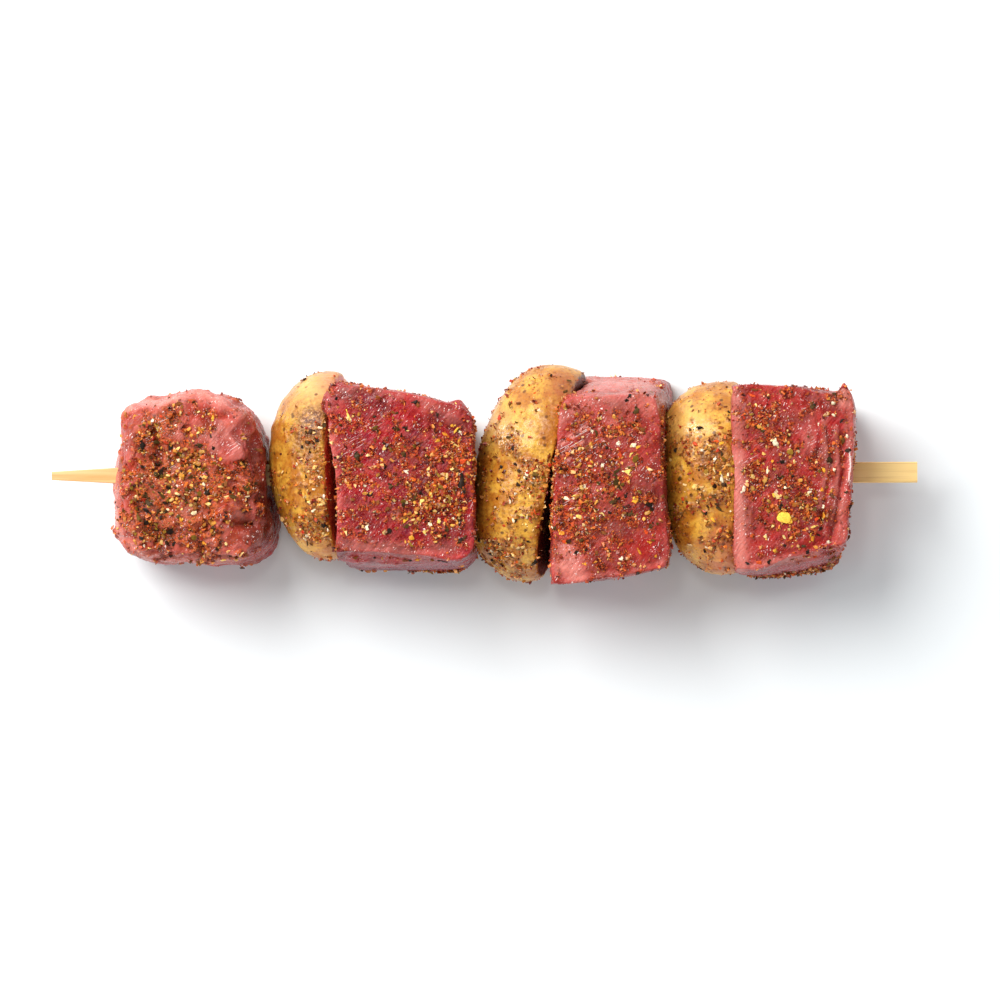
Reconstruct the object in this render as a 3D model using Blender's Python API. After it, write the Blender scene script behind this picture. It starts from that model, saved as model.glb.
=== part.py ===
"""Raw beef and potato kebab on a flat bamboo skewer, lying on its side.

Four hand-cut chunks of beef alternate with three halved potatoes on one skewer.
Driving sizes are in millimetres. X runs along the skewer from its narrow tip to its square
butt, Y across it and Z up from the surface that the kebab lies on.
"""

import math

import bmesh
import bpy
from mathutils import Matrix, Vector, noise

MM = 0.001

# The skewer: a flat bamboo lath with a blunt, narrowed tip.
SKEWER_LENGTH = 200.0
SKEWER_WIDTH = 4.8
SKEWER_THICKNESS = 3.0
SKEWER_TIP_WIDTH = 1.9
SKEWER_TIP_THICKNESS = 1.7
SKEWER_TAPER = 25.0
SKEWER_EDGE = 0.35
SKEWER_HEIGHT = 18.0

# The hole through the food is cut with a longer lath, so that the cutter's ends stay outside.
HOLE_OVERRUN = 20.0

# What is threaded touches its neighbours; each pair of solids keeps this clearance.
GAP = 0.32

# Divisions along each edge of the gridded blocks, and the size of their smooth unevenness.
BLOCK_DIVISIONS = 10
POTATO_DIVISIONS = 10
LUMP_LENGTH = 15.0

# Edges between faces that turn by more than this are shaded sharp, and those of the lath
# that turn by more than its own limit are rounded.
SHARP_ANGLE = 40.0
LATH_EDGE_ANGLE = 45.0

# A chunk of beef is a block between two uneven four-sided faces. Corners go round each face as
# back left, back right, front right, front left. Heights are those of the upper corners.
# `sink` is how far the lower face would reach below the table if it were not flattened on it.
# `edge` is the rounding of the block's edges, `plump` how much its faces swell, and `lump` the
# depth of its unevenness, which `seed` makes its own.
CHUNKS = {
    "beef_1": dict(
        upper=((-82.6, 17.4), (-54.5, 19.0), (-50.5, -18.0), (-84.6, -18.5)),
        lower=((-83.5, 16.0), (-51.0, 15.0), (-46.0, -20.0), (-84.2, -19.5)),
        heights=(34.0, 35.5, 34.0, 34.5),
        edge=8.5, plump=0.06, lump=1.3, sink=1.0, seed=3.1,
    ),
    "beef_2": dict(
        upper=((-36.8, 22.3), (-2.2, 15.4), (-2.6, -19.5), (-34.8, -19.2)),
        lower=((-33.0, 19.5), (-3.4, 13.5), (-1.6, -22.6), (-31.5, -22.3)),
        heights=(36.0, 35.0, 34.5, 36.5),
        edge=4.6, plump=0.03, lump=0.6, sink=0.8, seed=11.7,
    ),
    "beef_3": dict(
        upper=((17.0, 17.4), (39.4, 17.8), (42.6, -21.4), (15.0, -26.0)),
        lower=((20.0, 23.2), (44.8, 22.7), (43.4, -21.0), (15.2, -24.6)),
        heights=(36.5, 35.0, 35.0, 36.0),
        edge=4.2, plump=0.03, lump=0.6, sink=0.8, seed=23.9,
    ),
    "beef_4": dict(
        upper=((56.2, 20.9), (85.2, 18.6), (83.0, -17.2), (57.0, -22.8)),
        lower=((58.5, 19.0), (85.6, 16.0), (82.2, -23.2), (61.0, -24.0)),
        heights=(35.5, 34.5, 35.0, 36.5),
        edge=4.2, plump=0.035, lump=0.6, sink=0.8, seed=37.3,
    ),
}

# A halved potato is an egg-shaped body cut by one plane. `cut` is where that plane crosses the
# skewer, `depth` how far the skin side reaches from it and `past_middle` how much of that lies
# beyond the widest section. `apex` bends the skin side's crown across the skewer, `fullness`
# squares off the rounding (2 is a plain ellipse), `yaw` turns the cut round Z and `lean` tips
# its upper rim away from it.
POTATOES = {
    "potato_1": dict(
        cut=-32.9, depth=16.6, past_middle=3.0, centre_y=2.2, half_width=21.9,
        half_height=16.8, apex=1.8, yaw=0.5, lean=13.0, fullness=2.02, lump=0.5, seed=5.3,
    ),
    "potato_2": dict(
        cut=18.1, depth=20.3, past_middle=5.0, centre_y=-0.6, half_width=25.3,
        half_height=16.4, apex=-2.0, yaw=-12.5, lean=12.0, fullness=2.25, lump=0.7, seed=17.9,
    ),
    "potato_3": dict(
        cut=58.8, depth=19.2, past_middle=3.4, centre_y=-1.4, half_width=22.3,
        half_height=16.9, apex=3.0, yaw=-1.0, lean=5.0, fullness=2.12, lump=0.5, seed=29.1,
    ),
}

# Which potatoes press into which chunks.
PRESSED_BY = {
    "beef_1": ("potato_1",),
    "beef_2": ("potato_1", "potato_2"),
    "beef_3": ("potato_2", "potato_3"),
    "beef_4": ("potato_3",),
}


def clear_scene():
    for obj in list(bpy.data.objects):
        bpy.data.objects.remove(obj, do_unlink=True)


def make_material(name, colour, roughness):
    material = bpy.data.materials.new(name)
    material.use_nodes = True
    shader = material.node_tree.nodes["Principled BSDF"]
    shader.inputs["Base Color"].default_value = (*colour, 1.0)
    shader.inputs["Roughness"].default_value = roughness
    shader.inputs["Metallic"].default_value = 0.0
    return material


def add_object(name, shape, material, frame):
    """Turn a bmesh in millimetres into an object in metres, parented to the kebab's frame."""
    bmesh.ops.scale(shape, vec=Vector((MM, MM, MM)), verts=shape.verts)
    bmesh.ops.recalc_face_normals(shape, faces=shape.faces)
    mesh = bpy.data.meshes.new(name)
    shape.to_mesh(mesh)
    shape.free()
    mesh.shade_smooth()
    mesh.set_sharp_from_angle(angle=math.radians(SHARP_ANGLE))
    obj = bpy.data.objects.new(name, mesh)
    bpy.context.scene.collection.objects.link(obj)
    obj.parent = frame
    if material is not None:
        mesh.materials.append(material)
    return obj


def gridded_cube(divisions):
    """A cube from -1 to 1 whose faces are square grids."""
    shape = bmesh.new()
    bmesh.ops.create_cube(shape, size=2.0)
    bmesh.ops.subdivide_edges(
        shape, edges=shape.edges[:], cuts=divisions - 1, use_grid_fill=True
    )
    return shape


def unevenness(point, seed):
    """Smooth noise from about -1 to 1 that gives each piece of food its own lumps."""
    return noise.noise(point / LUMP_LENGTH + Vector((seed, -seed, 0.5 * seed)))


def rounded_corner(point, half, radius):
    """Pull a point on a box's surface in to the same box with round edges."""
    inner = Vector(
        max(-(h - radius), min(h - radius, p)) for p, h in zip(point, half)
    )
    return inner + (point - inner).normalized() * radius


def between_corners(share, upper, lower, heights, sink):
    """A point between the eight corners of a block; `share` is -1 to 1 along each axis."""
    across, along, up = ((s + 1.0) / 2.0 for s in share)
    weights = (
        (1 - across) * along,
        across * along,
        across * (1 - along),
        (1 - across) * (1 - along),
    )
    place = Vector((0.0, 0.0, 0.0))
    for weight, high, low, height in zip(weights, upper, lower, heights):
        top = Vector((*high, height))
        bottom = Vector((*low, -sink))
        place += weight * bottom.lerp(top, up)
    return place


def slice_off(shape, point, outwards):
    """Slice off what lies beyond a plane and close the slice with one flat face."""
    everything = shape.verts[:] + shape.edges[:] + shape.faces[:]
    sliced = bmesh.ops.bisect_plane(
        shape, geom=everything, plane_co=point, plane_no=outwards, clear_outer=True
    )
    rim = [e for e in sliced["geom_cut"] if isinstance(e, bmesh.types.BMEdge)]
    bmesh.ops.edgenet_fill(shape, edges=rim)


def chunk_shape(upper, lower, heights, edge, plump, lump, sink, seed):
    """A hand-cut chunk: an uneven block with round edges, plump faces and a flat foot."""
    corners = [Vector(c) for c in (*upper, *lower)]
    half = Vector((
        (max(c.x for c in corners) - min(c.x for c in corners)) / 2,
        (max(c.y for c in corners) - min(c.y for c in corners)) / 2,
        (max(heights) + sink) / 2,
    ))
    shape = gridded_cube(BLOCK_DIVISIONS)
    for vert in shape.verts:
        crowded = [math.sin(c * math.pi / 2) for c in vert.co]
        on_box = Vector(c * h for c, h in zip(crowded, half))
        round_point = rounded_corner(on_box, half, edge)
        share = Vector(p / h for p, h in zip(round_point, half))
        swell = Vector((
            share.x * (1 - share.y**2) * (1 - share.z**2),
            share.y * (1 - share.x**2) * (1 - share.z**2),
            share.z * (1 - share.x**2) * (1 - share.y**2),
        ))
        place = between_corners(share + plump * swell, upper, lower, heights, sink)
        vert.co = place + lump * unevenness(place, seed) * share.normalized()
    slice_off(shape, (0, 0, 0), (0, 0, -1))
    return shape


def potato_shape(
    cut, depth, past_middle, centre_y, half_width, half_height, apex, yaw, lean,
    fullness, lump, seed, grow=0.0,
):
    """Half a potato. `grow` makes it that much larger all round, for use as a cutter."""
    radius = depth - past_middle
    shape = gridded_cube(POTATO_DIVISIONS)
    for vert in shape.verts:
        spread = sum(abs(c) ** fullness for c in vert.co) ** (1.0 / fullness)
        ball = vert.co / spread
        uneven = 1.0 + lump * unevenness(ball * half_width, seed) / half_height
        vert.co = Vector((
            ball.x * (radius * uneven + grow),
            ball.y * (half_width * uneven + grow) + apex * min(ball.x, 0.0) ** 2,
            ball.z * (half_height * uneven + grow),
        ))
    slice_off(shape, (past_middle + grow, 0, 0), (1, 0, 0))
    turn = Matrix.Rotation(math.radians(yaw), 4, "Z") @ Matrix.Rotation(
        math.radians(-lean), 4, "Y"
    )
    seat = Vector((cut, centre_y, SKEWER_HEIGHT))
    back_to_cut = Matrix.Translation(Vector((-past_middle, 0, 0)))
    bmesh.ops.transform(
        shape, matrix=Matrix.Translation(seat) @ turn @ back_to_cut, verts=shape.verts
    )
    return shape


def skewer_shape(grow=0.0, overrun=0.0):
    """The lath, from its blunt tip through the taper to its square butt."""
    start = -SKEWER_LENGTH / 2
    stations = (
        (start - overrun, SKEWER_TIP_WIDTH, SKEWER_TIP_THICKNESS),
        (start + SKEWER_TAPER, SKEWER_WIDTH, SKEWER_THICKNESS),
        (-start + overrun, SKEWER_WIDTH, SKEWER_THICKNESS),
    )
    shape = bmesh.new()
    rings = []
    for x, width, thickness in stations:
        y = width / 2 + grow
        z = thickness / 2 + grow
        ring = [
            shape.verts.new((x, sy * y, SKEWER_HEIGHT + sz * z))
            for sy, sz in ((-1, -1), (1, -1), (1, 1), (-1, 1))
        ]
        rings.append(ring)
    for first, second in zip(rings, rings[1:]):
        for i in range(4):
            j = (i + 1) % 4
            shape.faces.new((first[i], first[j], second[j], second[i]))
    shape.faces.new(rings[0][::-1])
    shape.faces.new(rings[-1])
    bmesh.ops.recalc_face_normals(shape, faces=shape.faces)
    return shape


def round_lath_edges(shape):
    """Take the sharpness off the lath's four long edges and its two ends."""
    sharp = [e for e in shape.edges if e.calc_face_angle() > math.radians(LATH_EDGE_ANGLE)]
    bmesh.ops.bevel(
        shape, geom=sharp, offset=SKEWER_EDGE, segments=2, profile=0.5, affect="EDGES"
    )


def make_cutter(name, shape, frame):
    """A shape that only cuts others: it is drawn as a wire and never rendered."""
    cutter = add_object(name, shape, None, frame)
    cutter.hide_render = True
    cutter.display_type = "WIRE"
    return cutter


def cut_away(obj, cutter):
    modifier = obj.modifiers.new("Clear of " + cutter.name, "BOOLEAN")
    modifier.operation = "DIFFERENCE"
    modifier.solver = "EXACT"
    modifier.object = cutter


def centre_on_origin(frame, nodes):
    """Move the whole kebab so that its box stands on Z = 0, centred in X and Y."""
    bpy.context.view_layer.update()
    graph = bpy.context.evaluated_depsgraph_get()
    points = []
    for obj in nodes:
        evaluated = obj.evaluated_get(graph)
        points += [evaluated.matrix_world @ Vector(c) for c in evaluated.bound_box]
    frame.location = (
        -(max(p.x for p in points) + min(p.x for p in points)) / 2,
        -(max(p.y for p in points) + min(p.y for p in points)) / 2,
        -min(p.z for p in points),
    )


def build():
    clear_scene()
    frame = bpy.data.objects.new("kebab", None)
    bpy.context.scene.collection.objects.link(frame)
    beef = make_material("raw_beef", (0.55, 0.13, 0.10), 0.40)
    potato = make_material("potato_skin", (0.62, 0.33, 0.09), 0.50)
    bamboo = make_material("bamboo", (0.80, 0.58, 0.30), 0.55)

    lath = skewer_shape()
    round_lath_edges(lath)
    skewer = add_object("skewer", lath, bamboo, frame)
    hole = skewer_shape(grow=GAP, overrun=HOLE_OVERRUN)
    skewer_hole = make_cutter("skewer_hole", hole, frame)

    nodes = [skewer]
    potato_beds = {}
    for name, spec in POTATOES.items():
        half = add_object(name, potato_shape(**spec), potato, frame)
        cut_away(half, skewer_hole)
        nodes.append(half)
        bed = potato_shape(**spec, grow=GAP)
        potato_beds[name] = make_cutter(name + "_bed", bed, frame)

    for name, spec in CHUNKS.items():
        chunk = add_object(name, chunk_shape(**spec), beef, frame)
        for neighbour in PRESSED_BY[name]:
            cut_away(chunk, potato_beds[neighbour])
        cut_away(chunk, skewer_hole)
        nodes.append(chunk)

    centre_on_origin(frame, nodes)


build()
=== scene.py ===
import itertools
import math

import bmesh
import bpy
import numpy as np
from mathutils import Matrix, Vector
from mathutils.bvhtree import BVHTree


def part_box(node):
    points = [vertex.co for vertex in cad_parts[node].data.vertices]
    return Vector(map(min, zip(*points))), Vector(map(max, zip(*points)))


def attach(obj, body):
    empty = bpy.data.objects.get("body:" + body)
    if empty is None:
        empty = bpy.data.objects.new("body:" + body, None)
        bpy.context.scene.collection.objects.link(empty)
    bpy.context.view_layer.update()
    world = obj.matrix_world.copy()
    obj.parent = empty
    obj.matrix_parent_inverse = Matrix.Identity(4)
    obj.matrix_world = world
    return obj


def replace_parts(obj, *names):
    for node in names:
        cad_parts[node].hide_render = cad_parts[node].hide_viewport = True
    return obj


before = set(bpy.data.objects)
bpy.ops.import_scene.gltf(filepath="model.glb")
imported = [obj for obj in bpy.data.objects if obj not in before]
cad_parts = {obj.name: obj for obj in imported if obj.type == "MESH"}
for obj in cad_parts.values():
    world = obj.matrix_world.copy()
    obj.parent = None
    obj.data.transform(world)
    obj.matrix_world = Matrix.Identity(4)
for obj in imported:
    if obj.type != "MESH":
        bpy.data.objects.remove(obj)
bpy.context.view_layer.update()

mm = 0.001
skewerHeight = 18.0     # millimetres from the table to the middle of the skewer
gridPrimes = (73856093, 19349663, 83492791)     # large numbers that mix a corner of the noise's grid
seedPrime = 2654435761
scramble = ((15, 2246822519), (13, 3266489917))


# Smooth noise for shaping the meshes. Points are in millimetres, so a wave is as long as they are divided by.
def slopes(cell, seed):      # three numbers from -1 to 1 for each corner of the noise's grid
    x, y, z = (cell[:, axis] * prime for axis, prime in enumerate(gridPrimes))
    mixed = (x ^ y ^ z ^ (seed * seedPrime)) & 0xFFFFFFFF
    for shift, prime in scramble:
        mixed = ((mixed ^ (mixed >> shift)) * prime) & 0xFFFFFFFF
    mixed ^= mixed >> 16
    return np.stack([(mixed >> shift & 1023) / 511.5 - 1.0 for shift in (1, 11, 21)], axis=1)


def noise(points, seed):
    cell = np.floor(points)
    part = points - cell
    cell = cell.astype(np.int64)
    ease = part**3 * (part * (part * 6 - 15) + 10)
    total = np.zeros(len(points))
    for corner in itertools.product((0, 1), repeat=3):
        weight = np.prod(np.where(corner, ease, 1 - ease), axis=1)
        total += weight * np.sum(slopes(cell + np.array(corner), seed) * (part - np.array(corner)), axis=1)
    return total * 1.5


def layered(points, seed, layers=3):
    total = np.zeros(len(points))
    for layer in range(layers):
        total += noise(points * 2**layer, seed + layer) / 2**layer
    return total / 1.5


def between(value, low, high):      # 0 at low, 1 at high and smooth on the way
    share = np.clip((value - low) / (high - low), 0, 1)
    return share * share * (3 - 2 * share)


def fading(away, reach):        # 1 at the middle of a soft spot, nearly 0 at twice its reach
    return np.exp(-((away / reach) ** 2))


def turned(points, degrees):        # the points seen along a grain that runs at that angle from X
    angle = math.radians(degrees)
    along = points[:, 0] * math.cos(angle) + points[:, 1] * math.sin(angle)
    across = points[:, 1] * math.cos(angle) - points[:, 0] * math.sin(angle)
    return np.stack([along, across, points[:, 2]], axis=1)


class Food:     # the points of one piece of food, in millimetres from the middle of its box, on the table
    headroom, squeeze, foot = 0.7, 0.75, 0.03       # how the top is eased down, and how high the foot stands

    def __init__(self, piece, node):
        low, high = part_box(node)
        self.mesh = piece.data
        self.middle = np.array([(low.x + high.x) / 2, (low.y + high.y) / 2, 0.0]) / mm
        self.ceiling = high.z / mm - self.headroom
        self.at = self.read("co") / mm - self.middle

    def read(self, name):
        flat = np.empty(len(self.mesh.vertices) * 3)
        self.mesh.vertices.foreach_get(name, flat)
        return flat.reshape(-1, 3)

    def settle(self):       # writes the points back and reads the normals again
        self.mesh.vertices.foreach_set("co", ((self.at + self.middle) * mm).ravel())
        self.mesh.update()
        self.out = self.read("normal")

    def swell(self, amount):        # moves the surface outwards
        self.at += self.out * np.asarray(amount).reshape(-1, 1)

    def awayFrom(self, *spot):
        return np.linalg.norm(self.at - np.array(spot), axis=1)

    def pull(self, x, y, z, reach, *move):      # a broad bulge or hollow
        away = self.awayFrom(x, y, z) / reach
        self.at += np.clip(1 - away * away, 0, 1)[:, None] ** 2 * np.array(move)

    def spike(self, x, y, z, reach, *move):     # a thin point drawn out of the surface
        away = self.awayFrom(x, y, z) / reach
        self.at += np.clip(1 - away, 0, 1)[:, None] ** 1.6 * np.array(move)

    def squareUp(self, radius, corners):        # draws the rounded upper edges out to crisp ones
        x, y, z = np.abs(self.out).T
        level = np.hypot(x, y)
        rounded = 1 / np.maximum(z, level) - 1
        self.rim = between(rounded, 0.08, 0.36) * (self.out[:, 2] > 0)
        lift = rounded * between(self.out[:, 2], -0.2, 0.2)
        for cornerX, cornerY, reach, share in corners:      # a negative share leaves that corner rounder
            near = fading(np.hypot(self.at[:, 0] - cornerX, self.at[:, 1] - cornerY), reach)
            if share < 0:
                lift *= 1 + share * near
            else:
                steep = between(level, 0.5, 0.9)
                lift += share * steep * near * (level / np.maximum(np.maximum(x, y), 0.3) - 1)
        self.swell(radius * lift)
        self.settle()

    def keepInside(self):       # eases the top down to the piece's own height and flattens the foot
        over = np.maximum(self.at[:, 2] - self.ceiling, 0)
        self.at[:, 2] = np.maximum(self.at[:, 2] - self.squeeze * over, self.foot)
        self.settle()

    def nearLine(self, path):       # distance from a line seen from above, and the share of the way along it
        best = np.full(len(self.at), np.inf)
        share = np.zeros(len(self.at))
        steps = [math.dist(a, b) for a, b in zip(path, path[1:])]
        gone = 0.0
        for (a, b), step in zip(zip(path, path[1:]), steps):
            start, run = np.array(a), np.array(b) - np.array(a)
            t = np.clip((self.at[:, :2] - start) @ run / (run @ run), 0, 1)
            away = np.linalg.norm(self.at[:, :2] - start - t[:, None] * run, axis=1)
            share = np.where(away < best, (gone + t * step) / sum(steps), share)
            best = np.minimum(best, away)
            gone += step
        return best, share

    def crease(self, path, width, depth):       # a fold in the upper side; a negative depth raises a ridge
        away, share = self.nearLine(path)
        ends = between(share, 0.0, 0.12) * between(1 - share, 0.0, 0.12) * 0.75 + 0.25
        full, ease = 0.35, 0.3      # how far up a face looks where the fold is whole, and the blend below it
        upper = between(self.out[:, 2], full - ease, full)
        self.swell(-depth * ends * upper * fading(away, width))

    def blots(self, spots, base=0.0):       # soft round patches seen from above: x, y, reach, strength
        total = np.full(len(self.at), float(base))
        for x, y, reach, strength in spots:
            away = np.hypot(self.at[:, 0] - x, self.at[:, 1] - y) / reach
            total += strength * np.exp(-(away**2) * 1.6)
        return total

    def store(self, name, values):
        made = self.mesh.attributes.get(name) or self.mesh.attributes.new(name, "FLOAT", "POINT")
        made.data.foreach_set("value", np.clip(values, 0, 1).astype(np.float32))


def meshOf(shape, name):
    mesh = bpy.data.meshes.new(name)
    shape.to_mesh(mesh)
    shape.free()
    return mesh


def newObject(name, mesh):
    piece = bpy.data.objects.new(name, mesh)
    bpy.context.scene.collection.objects.link(piece)
    return piece


def evaluated(piece):       # a plain mesh of the piece with its modifiers, which are then removed
    graph = bpy.context.evaluated_depsgraph_get()
    mesh = bpy.data.meshes.new_from_object(piece.evaluated_get(graph))
    piece.modifiers.clear()
    piece.data = mesh
    return mesh


def smoothCopy(node, name, choice):     # a rounded copy with fine even faces, closed round the skewer
    shape = bmesh.new()
    shape.from_mesh(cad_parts[node].data)
    bmesh.ops.remove_doubles(shape, verts=shape.verts, dist=1e-6)
    low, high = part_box("skewer")
    slack, mouth = 0.6 * mm, 0.9 * mm       # room round the skewer, and how deep the hole stays open
    hole = [v.co.x for v in shape.verts
            if abs(v.co.y) < high.y + slack and low.z - slack < v.co.z < high.z + slack]
    start, end = min(hole) + mouth, max(hole) - mouth
    size = (end - start, 2 * high.y + 2 * slack, high.z - low.z + 2 * slack)
    place = Matrix.Translation(((start + end) / 2, 0, (low.z + high.z) / 2))
    bmesh.ops.create_cube(shape, size=1, matrix=place @ Matrix.Diagonal((*size, 1)))
    piece = newObject(name, meshOf(shape, name))
    remesh = piece.modifiers.new("Even faces", "REMESH")
    remesh.mode = "VOXEL"
    remesh.voxel_size = choice["grid"] * mm
    soften = piece.modifiers.new("Soften", "SMOOTH")
    soften.factor = 0.5
    soften.iterations = choice["smoothing"]
    finer = piece.modifiers.new("Finer", "SUBSURF")
    finer.levels = finer.render_levels = 1
    evaluated(piece)
    piece.data.name = name
    piece.data.materials.clear()
    piece.data.shade_smooth()
    return piece


# Materials. Wire is one socket; sums written on it add Math nodes.
class Wire:
    def __init__(self, nodes, socket):
        self.nodes, self.socket = nodes, socket

    def sum(self, operation, first, second=0.0):
        return self.nodes.add("ShaderNodeMath", {"operation": operation}, {0: first, 1: second})

    def __add__(self, other):
        return self.sum("ADD", self, other)

    def __radd__(self, other):
        return self.sum("ADD", other, self)

    def __sub__(self, other):
        return self.sum("SUBTRACT", self, other)

    def __rsub__(self, other):
        return self.sum("SUBTRACT", other, self)

    def __mul__(self, other):
        return self.sum("MULTIPLY", self, other)

    def __rmul__(self, other):
        return self.sum("MULTIPLY", other, self)

    def __truediv__(self, other):
        return self.sum("DIVIDE", self, other)

    def __pow__(self, other):
        return self.sum("POWER", self, other)

    def step(self, low, high):      # 0 at low, 1 at high and smooth on the way
        return self.nodes.add(
            "ShaderNodeMapRange", {"interpolation_type": "SMOOTHSTEP"},
            {"Value": self, "From Min": low, "From Max": high},
        )


class Nodes:
    def __init__(self, tree):
        self.tree = tree

    def add(self, kind, settings=None, inputs=None, output=0):
        node = self.tree.nodes.new(kind)
        for name, value in (settings or {}).items():
            if name == "stops":
                stops = node.color_ramp.elements        # a new ramp has two of them
                for index, (place, colour) in enumerate(value):
                    stop = stops[index] if index < 2 else stops.new(place)
                    stop.position, stop.color = place, (*colour, 1)
            else:
                setattr(node, name, value)
        for name, value in (inputs or {}).items():
            if isinstance(value, Wire):
                self.tree.links.new(value.socket, node.inputs[name])
            else:
                node.inputs[name].default_value = value
        return Wire(self, node.outputs[output])

    def mask(self, name):
        return self.add("ShaderNodeAttribute", {"attribute_name": name}, output="Fac")

    def place(self, size, turn=0.0, shift=0.0):     # where a pattern with waves this long in millimetres is
        own = self.add("ShaderNodeTexCoord", output="Object")
        return self.add(
            "ShaderNodeMapping", {"vector_type": "TEXTURE"},
            {"Vector": own, "Location": (shift, shift, shift), "Rotation": (0, 0, math.radians(turn)),
             "Scale": tuple(length * mm for length in size)},
        )

    def cloud(self, size, turn=0.0, detail=2.0, rough=0.5, shift=0.0):
        size = size if isinstance(size, tuple) else (size, size, size)
        return self.add(
            "ShaderNodeTexNoise", None,
            {"Vector": self.place(size, turn, shift), "Scale": 1.0, "Detail": detail, "Roughness": rough},
        )

    def cells(self, size, output="Distance"):
        return self.add(
            "ShaderNodeTexVoronoi", None, {"Vector": self.place((size, size, size)), "Scale": 1.0},
            output=output
        )

    def blend(self, share, first, second, mode="MIX"):
        return self.add(
            "ShaderNodeMix", {"data_type": "RGBA", "blend_type": mode}, {0: share, 6: first, 7: second},
            output=2
        )

    def layers(self, look, under, coats):       # colours of a look laid over each other, each by its share
        base = opaque(*look[under])
        for share, coat in coats:
            base = self.blend(share, base, opaque(*look[coat]) if isinstance(coat, str) else coat)
        return base

    def bump(self, height, depth):      # depth in millimetres
        return self.add("ShaderNodeBump", None, {"Height": height, "Distance": depth * mm, "Strength": 1.0})


def tint(red, green, blue):     # a colour as shown on screen, 0 to 255, as Blender wants it
    def linear(value):
        value /= 255
        return value / 12.92 if value <= 0.04045 else ((value + 0.055) / 1.055) ** 2.4
    return linear(red), linear(green), linear(blue)


def opaque(*colour):
    return (*tint(*colour), 1.0)


def newMaterial(name, fixed, colour, roughness, normal):
    material = bpy.data.materials.new(name)
    material.use_nodes = True
    nodes = Nodes(material.node_tree)
    shader = material.node_tree.nodes["Principled BSDF"]
    for socket, value in fixed.items():
        shader.inputs[socket].default_value = value
    for socket, made in (("Base Color", colour), ("Roughness", roughness), ("Normal", normal)):
        material.node_tree.links.new(made(nodes).socket, shader.inputs[socket])
    return material


# The skewer: a flat lath of split bamboo, made along its length by Geometry Nodes.
skewer = {
    "tipWidth": 1.9, "tipThickness": 1.7, "taper": 25.0, "corner": 0.35,       # millimetres
    "fibreWidth": 0.42, "fibreDepth": 0.05, "fibreStretch": 60.0, "seed": 4.0,
    "rings": 260, "sides": 64, "roughness": 0.52, "paleFrom": 70.0, "paleTo": 95.0,
    "straw": (238, 196, 136), "honey": (216, 160, 92), "pith": (255, 220, 142), "brown": (176, 112, 58),
}


def newTree(name, numbers):
    tree = bpy.data.node_groups.new(name, "GeometryNodeTree")
    tree.interface.new_socket("Geometry", in_out="INPUT", socket_type="NodeSocketGeometry")
    for label, value in numbers.items():
        kind = {int: "NodeSocketInt", str: "NodeSocketString"}.get(type(value), "NodeSocketFloat")
        tree.interface.new_socket(label, in_out="INPUT", socket_type=kind).default_value = value
    tree.interface.new_socket("Geometry", in_out="OUTPUT", socket_type="NodeSocketGeometry")
    nodes = Nodes(tree)
    given = tree.nodes.new("NodeGroupInput")
    inputs = {socket.name: Wire(nodes, socket) for socket in given.outputs if socket.name}
    return tree, nodes, inputs


def endTree(nodes, geometry, finish):
    dressed = nodes.add("GeometryNodeSetMaterial", None, {
        "Geometry": nodes.add("GeometryNodeRealizeInstances", None, {"Geometry": geometry}),
        "Material": finish})
    result = nodes.tree.nodes.new("NodeGroupOutput")
    nodes.tree.links.new(dressed.socket, result.inputs["Geometry"])


def grown(name, tree, numbers, base=None):      # runs a tree on a mesh and keeps the result as a plain mesh
    piece = newObject(name, base or bpy.data.meshes.new(name))
    modifier = piece.modifiers.new(name, "NODES")
    modifier.node_group = tree
    labels = {item.name: item.identifier for item in tree.interface.items_tree if item.in_out == "INPUT"}
    for label, value in numbers.items():
        modifier[labels[label]] = value
    evaluated(piece).name = name
    return piece


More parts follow.
